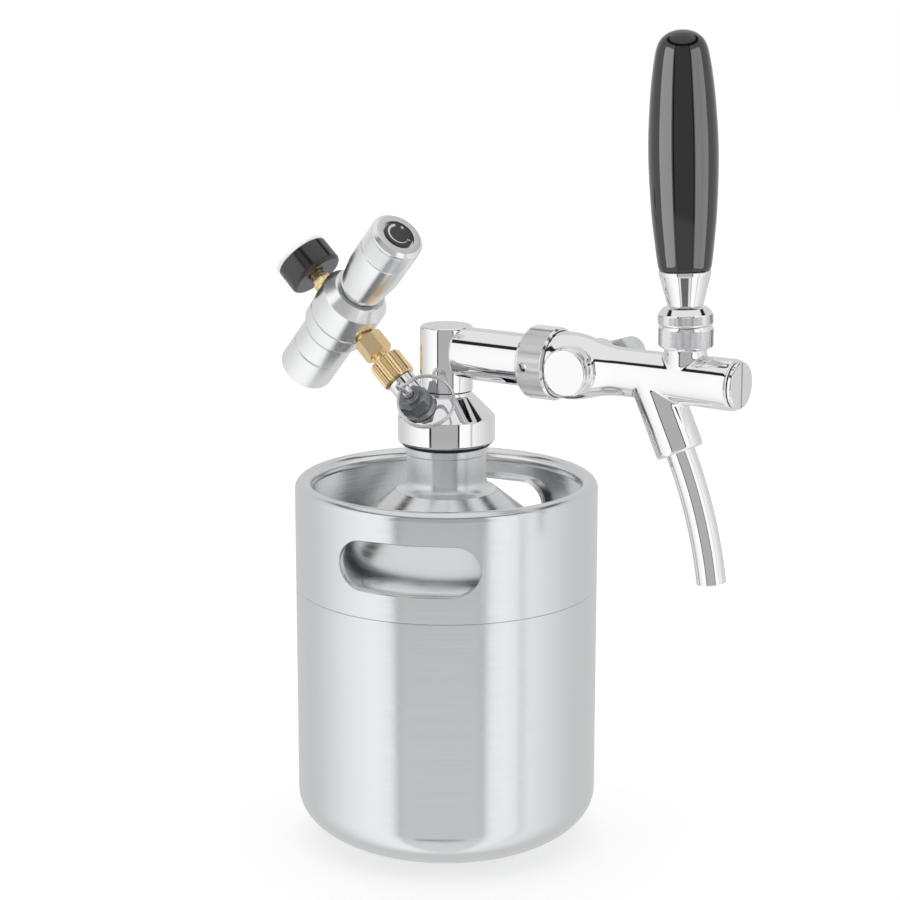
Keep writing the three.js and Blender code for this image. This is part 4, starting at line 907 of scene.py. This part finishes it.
# %% Wound wire
def wire(points, thickness, taper=0):
    """A round wire along the points. With taper, its ends are ground down over that many points."""
    line = bpy.data.curves.new("wire", "CURVE")
    line.dimensions, line.use_fill_caps = "3D", True
    line.bevel_depth, line.bevel_resolution = thickness / 2, 3
    spline = line.splines.new("POLY")
    spline.points.add(len(points) - 1)
    for index, (dot, spot) in enumerate(zip(spline.points, points)):
        dot.co = (*spot, 1)
        from_end = min(index, len(points) - 1 - index)
        dot.radius = 1 if from_end >= taper else 0.45 + 0.55 * from_end / taper
    holder = bpy.data.objects.new("wire", line)
    shape = bmesh.new()
    shape.from_mesh(bpy.data.meshes.new_from_object(holder))
    bpy.data.objects.remove(holder)
    bmesh.ops.recalc_face_normals(shape, faces=shape.faces)
    return shape


def coil(radius, thickness, turns, low, high, per_turn=40, lying=0.9):
    """A compression spring: at each end, lying turns are almost flat. The others climb evenly."""
    bottom, top = low + thickness / 2, high - thickness / 2
    climbs_until = turns + 2 - lying
    points = []
    for index in range(per_turn * (turns + 2) + 1):
        turn = index / per_turn
        climbed = min(max((turn - lying) / (climbs_until - lying), 0), 1)
        at_the_ends = thickness / 2 * (min(turn, lying) + max(turn - climbs_until, 0))
        rise = (top - bottom - thickness * lying) * climbed + at_the_ends
        points.append((radius * cos(turn * tau), radius * sin(turn * tau), bottom + rise))
    return wire(points, thickness, 14)


# %% Regulator
regulator = spun(
    [(0, -14), (12.4, -14), (12.5, -11.8), (14.3, -11), (14.5, -4.4), (14.1, -4.1), (14.1, -3.8)]
    + [(14.6, -3.5), (14.9, 2), (14.9, 10), (11.6, 15), (7.7, 15), (7.7, 32), (0, 32)],
    0.22,
    128,
)
for low, high, radius in ((5, 33, 5.6), (-15, -7.7, 10.3), (-8, 6, 1.5)):
    regulator = worked(regulator, bar(radius, low, high))
for angle in (90, -90):
    regulator = worked(regulator, bar(4.5, 5.9, 16), place=turned_by(angle, "Y"))
made("regulator_housing", regulator, REGULATOR, "satin_aluminium", "regulator_body", corner=35)

socket = spun(
    [(9.8, -41.7), (11.5, -41.7), (12.3, -40.9), (12.3, -26.4), (11.8, -26.2), (11.8, -25.8), (12.3, -25.6)]
    + [(12.3, -14.3), (10, -14.3), (10, -8), (4.8, -8), (4.8, -20), (9.8, -20)],
    0.2,
    128,
)
made("cartridge_cup", socket, REGULATOR, "satin_aluminium", "cartridge_socket", corner=35)
lance = spun([(0, -16), (0.8, -12.5), (4.4, -12.5), (4.4, -10.4), (0, -10.4)], 0.08, 48)
made("hollow_lance", lance, REGULATOR, "inner_steel", "piercing_pin")

knob = spun(
    [(8.1, 16.8), (9.9, 16.8), (11.8, 29.5), (11.8, 40.4), (11.5, 40.7), (11.5, 41.2), (11.5, 49.8)]
    + [(11.5, 50.2), (11.8, 50.5), (11.8, 51.5), (10.2, 53.1), (7.2, 53.1), (7.2, 51.7), (0, 51.7)]
    + [(0, 25), (3, 25), (3, 46.5), (8.1, 46.5)],
    0.12,
    150,
)
knob = ribs(knob, 42, 49, 11.3, 0.1, 0.28)
made("pressure_cap", knob, REGULATOR, "satin_aluminium", "pressure_knob", corner=30)
badge = spun([(0, 52), (6.5, 52), (6.5, 53.1), (6.2, 53.3), (0, 53.3)], 0.1, 96)
made("knob_disc", badge, REGULATOR, "black_plastic", "knob_badge")
plate = spun([(0, 22.2), (5.2, 22.2), (5.2, 24.4), (0, 24.4)], 0.25, 48)
made("pressed_plate", plate, REGULATOR, "inner_steel", "spring_plate")
spring = coil(4.2, 1.2, 4, 5.15, 22.05)
spring = made("wound_regulating_spring", spring, REGULATOR, "inner_steel", "regulating_spring", corner=60)
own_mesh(spring)


# %% [markdown]
# ## Printed marks
# Printed marks are thin flat shapes, a few hundredths of a millimetre proud of what they are printed on.
# The knob's badge shows a wedge that widens towards more pressure, with a plus and a minus at its ends.
# The gauge has a plain scale.


# %% Flat marks
def printed(outlines, height, thickness=0.05):
    """Flat figures, each a loop of points, given a little thickness."""
    shape = bmesh.new()
    for outline in outlines:
        shape.faces.new([shape.verts.new((x, y, height)) for x, y in outline])
    bmesh.ops.recalc_face_normals(shape, faces=shape.faces)
    raised = bmesh.ops.extrude_face_region(shape, geom=shape.faces[:])["geom"]
    upper = [v for v in raised if isinstance(v, bmesh.types.BMVert)]
    bmesh.ops.translate(shape, verts=upper, vec=(0, 0, thickness))
    bmesh.ops.recalc_face_normals(shape, faces=shape.faces)
    return shape


def spoke(angle, start, end, width):
    """A stroke that points away from the middle, angle in degrees clockwise from Y."""
    away = Vector((sin(radians(angle)), cos(radians(angle))))
    aside = Vector((away.y, -away.x)) * width / 2
    return [away * start - aside, away * end - aside, away * end + aside, away * start + aside]


wedge_end, inner_radius, thin, widening = 110, 4.3, 0.15, 1.1
wedge = []
stops = rows(-wedge_end, wedge_end, 22)
for first, second in zip(stops, stops[1:]):
    quad = []
    for angle, outer in ((first, False), (second, False), (second, True), (first, True)):
        share = (angle + wedge_end) / (2 * wedge_end)
        r = inner_radius + (thin + share * widening if outer else 0)
        quad.append((r * sin(radians(angle)), r * cos(radians(angle))))
    wedge.append(quad)
plus_bar = [(x + 2.35, y - 4.07) for x, y in spoke(240, -0.8, 0.8, 0.45)]
wedge += [spoke(150, 3.9, 5.5, 0.45), plus_bar, spoke(240, 4, 5.4, 0.45)]
made("knob_wedge", printed(wedge, 53.28), REGULATOR, "white_enamel", body="knob", weighted=False)

# %% [markdown]
# ## Gauge
# The gauge looks away from the camera, so only its black case shows in the photograph. Its face has ticks
# and plain numbers. The numbers are text turned into mesh.

# %% Gauge
stem = spun([(0, 9), (4.2, 9), (4.2, 15.5), (3, 15.5), (3, 21.7), (0, 21.7)], 0.12)
stem = worked(stem, hexagon(8, 15.2, 19), "UNION")
made("hex_gauge_stem", rounded(stem, 0.1, 35), SWIVEL, "brass", "gauge_stem", corner=20)
case = spun(
    [(3.3, 20.4)] + arc((10.6, 22.2), (1.8, 1.8), -90, 0, 6)
    + [(12.3, 31.5), (12.0, 31.9), (11.1, 31.9), (11.1, 22), (3.3, 22)],
    0.0,
    128,
)
made("round_case", case, SWIVEL, "black_plastic", "gauge_case", corner=35)
dial = spun([(0, 22), (3, 22), (3, 28), (10.8, 28), (10.8, 28.8), (0, 28.8)], 0.1, 96)
made("enamelled_dial", dial, SWIVEL, "white_enamel", "gauge_dial")
lens = spun(
    [(0, 30.6), (10.8, 30.6), (10.8, 32.1), (12.3, 32.1), (12.3, 33.6), (11.2, 34.25)]
    + [(r, 35.2 - 0.9 * (r / 11.2) ** 2) for r in (9, 6, 3)] + [(0, 35.2)],
    0.0,
    128,
)
made("domed_lens", lens, SWIVEL, "clear_plastic", "gauge_lens", corner=30)

zero, sweep, number_radius = 135, 270, 5.9
ticks = []
for step in range(31):
    start, width = (7.4, 0.34) if step % 5 == 0 else (8.7, 0.16)
    ticks.append(spoke(zero + sweep * step / 30, start, 9.6, width))
scale_marks = printed(ticks, 28.79)
for number in range(7):
    text = bpy.data.curves.new("number", "FONT")
    text.body, text.size, text.align_x, text.align_y = str(number * 10), 2.1, "CENTER", "CENTER"
    holder = bpy.data.objects.new("number", text)
    figure = bpy.data.meshes.new_from_object(holder)
    bpy.data.objects.remove(holder)
    angle = radians(zero + sweep * number / 6)
    spot = at(number_radius * sin(angle), number_radius * cos(angle), 28.84)
    figure.transform(spot @ turned_by(90, "Z"))
    scale_marks.from_mesh(figure)
made("gauge_scale", scale_marks, SWIVEL, "black_plastic", body="regulator", weighted=False)
needle = printed([[(-0.5, -3), (0.5, -3), (0.22, 8.6), (-0.22, 8.6)]], 29.2, 0.5)
hub = spun([(0, 28.9), (1.2, 28.9), (1.2, 29.7), (0.8, 29.9), (0, 29.9)], 0.05, 32)
needle = worked(needle, hub, "UNION")
made("gauge_pointer", needle, SWIVEL @ turned_by(-135, "Z"), "black_plastic", "gauge_needle", corner=30)

# %% [markdown]
# ## Relief valve
# A spring holds the valve's disc down. The split ring passes through the stem's eye twice and lifts it.
# The ring is two turns of wire that lie close together, with ends ground thin.

# %% Relief valve
relief = spun(
    [(0, 17.5), (4, 17.5), (4, 21.1), (7, 21.1), (7, 23.8), (4.4, 23.8), (4.4, 31.6), (0, 31.6)], 0.2
)
relief = worked(relief, hexagon(12, 23.5, 30, 0.25), "UNION")
for radius, low, high in ((1.5, 15, 22), (3.9, 20, 30), (2.2, 29, 33)):
    relief = worked(relief, bar(radius, low, high))
made("relief_valve_body", rounded(relief, 0.12, 35), RELIEF, "dark_nickel", "relief_body", corner=20)

stem = spun([(0, 20.4), (3.6, 20.4), (3.6, 21.8), (1.9, 21.8), (1.9, 33.8), (0, 33.8)], 0.12, 48)
eye = spun([(2.4, -1.2), (3.8, -1.2), (3.8, 1.2), (2.4, 1.2)], 0.45, 48)
stem = worked(stem, eye, "UNION", at(z=36.2) @ turned_by(90, "X"))
made("relief_stem_with_eye", stem, RELIEF @ turned_by(85, "Z"), "inner_steel", "relief_stem", corner=50)
spring = coil(3.0, 0.7, 4, 21.95, 29.85)
spring = made("wound_relief_spring", spring, RELIEF, "inner_steel", "relief_spring", corner=60)
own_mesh(spring)

turns, thickness, ring_radius, ring_centre, per_turn = 2, 1.2, 11.7, 11.1, 64
split_ring = []
for index in range(turns * per_turn + 1):
    turn = index / per_turn
    x, y = ring_centre + ring_radius * cos(turn * tau), ring_radius * sin(turn * tau)
    split_ring.append((x, y, (turn - turns / 2) * thickness))
made("split_pull_ring", wire(split_ring, thickness, 5), RING, "inner_steel", "relief_ring", corner=60)

# %% [markdown]
# ## Inside
# What works inside the tap is small and plain: the valve's shaft with a notch for the handle's finger,
# its washer and its seals. One list makes the rings. The flow plug is a plain cone and stays as it came
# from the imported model, with a finish of its own.

# %% Small parts
shaft = spun(
    [(0, 91.8), (5.7, 91.8), (5.7, 94.4), (2.6, 94.4), (2.6, 110.6), (4.6, 110.6), (4.6, 127), (0, 127)],
    0.15,
    64,
)
notch = bmesh.new()
bmesh.ops.create_cube(notch, size=1)
bmesh.ops.scale(notch, verts=notch.verts, vec=(12, 5.6, 6.2))
shaft = worked(shaft, notch, place=at(-8.8, 0, 115.18))
made("notched_shaft", shaft, ARM, "inner_steel", "valve_shaft")
rings = [
    ("valve_face", 2.9, 5.2, 94.7, 96.2, ARM, "valve_washer"),
    ("valve_gland", 2.9, 4.75, 108.8, 110.3, ARM, "shaft_seal"),
    ("dip_tube_ring", 4.3, 8.1, 186.2, 188.2, UPRIGHT, "dip_tube_seal"),
    ("spout_ring", 4.5, 6, 18.9, 20.2, SPOUT, "spout_seal"),
]
for name, bore, radius, low, high, place, node in rings:
    made(name, tube(bore, radius, low, high, 0.35), place, "black_rubber", node)
cone = frame["nodes"]["flow_plug"]
cone.data.materials.clear()
cone.data.materials.append(finishes["inner_steel"])
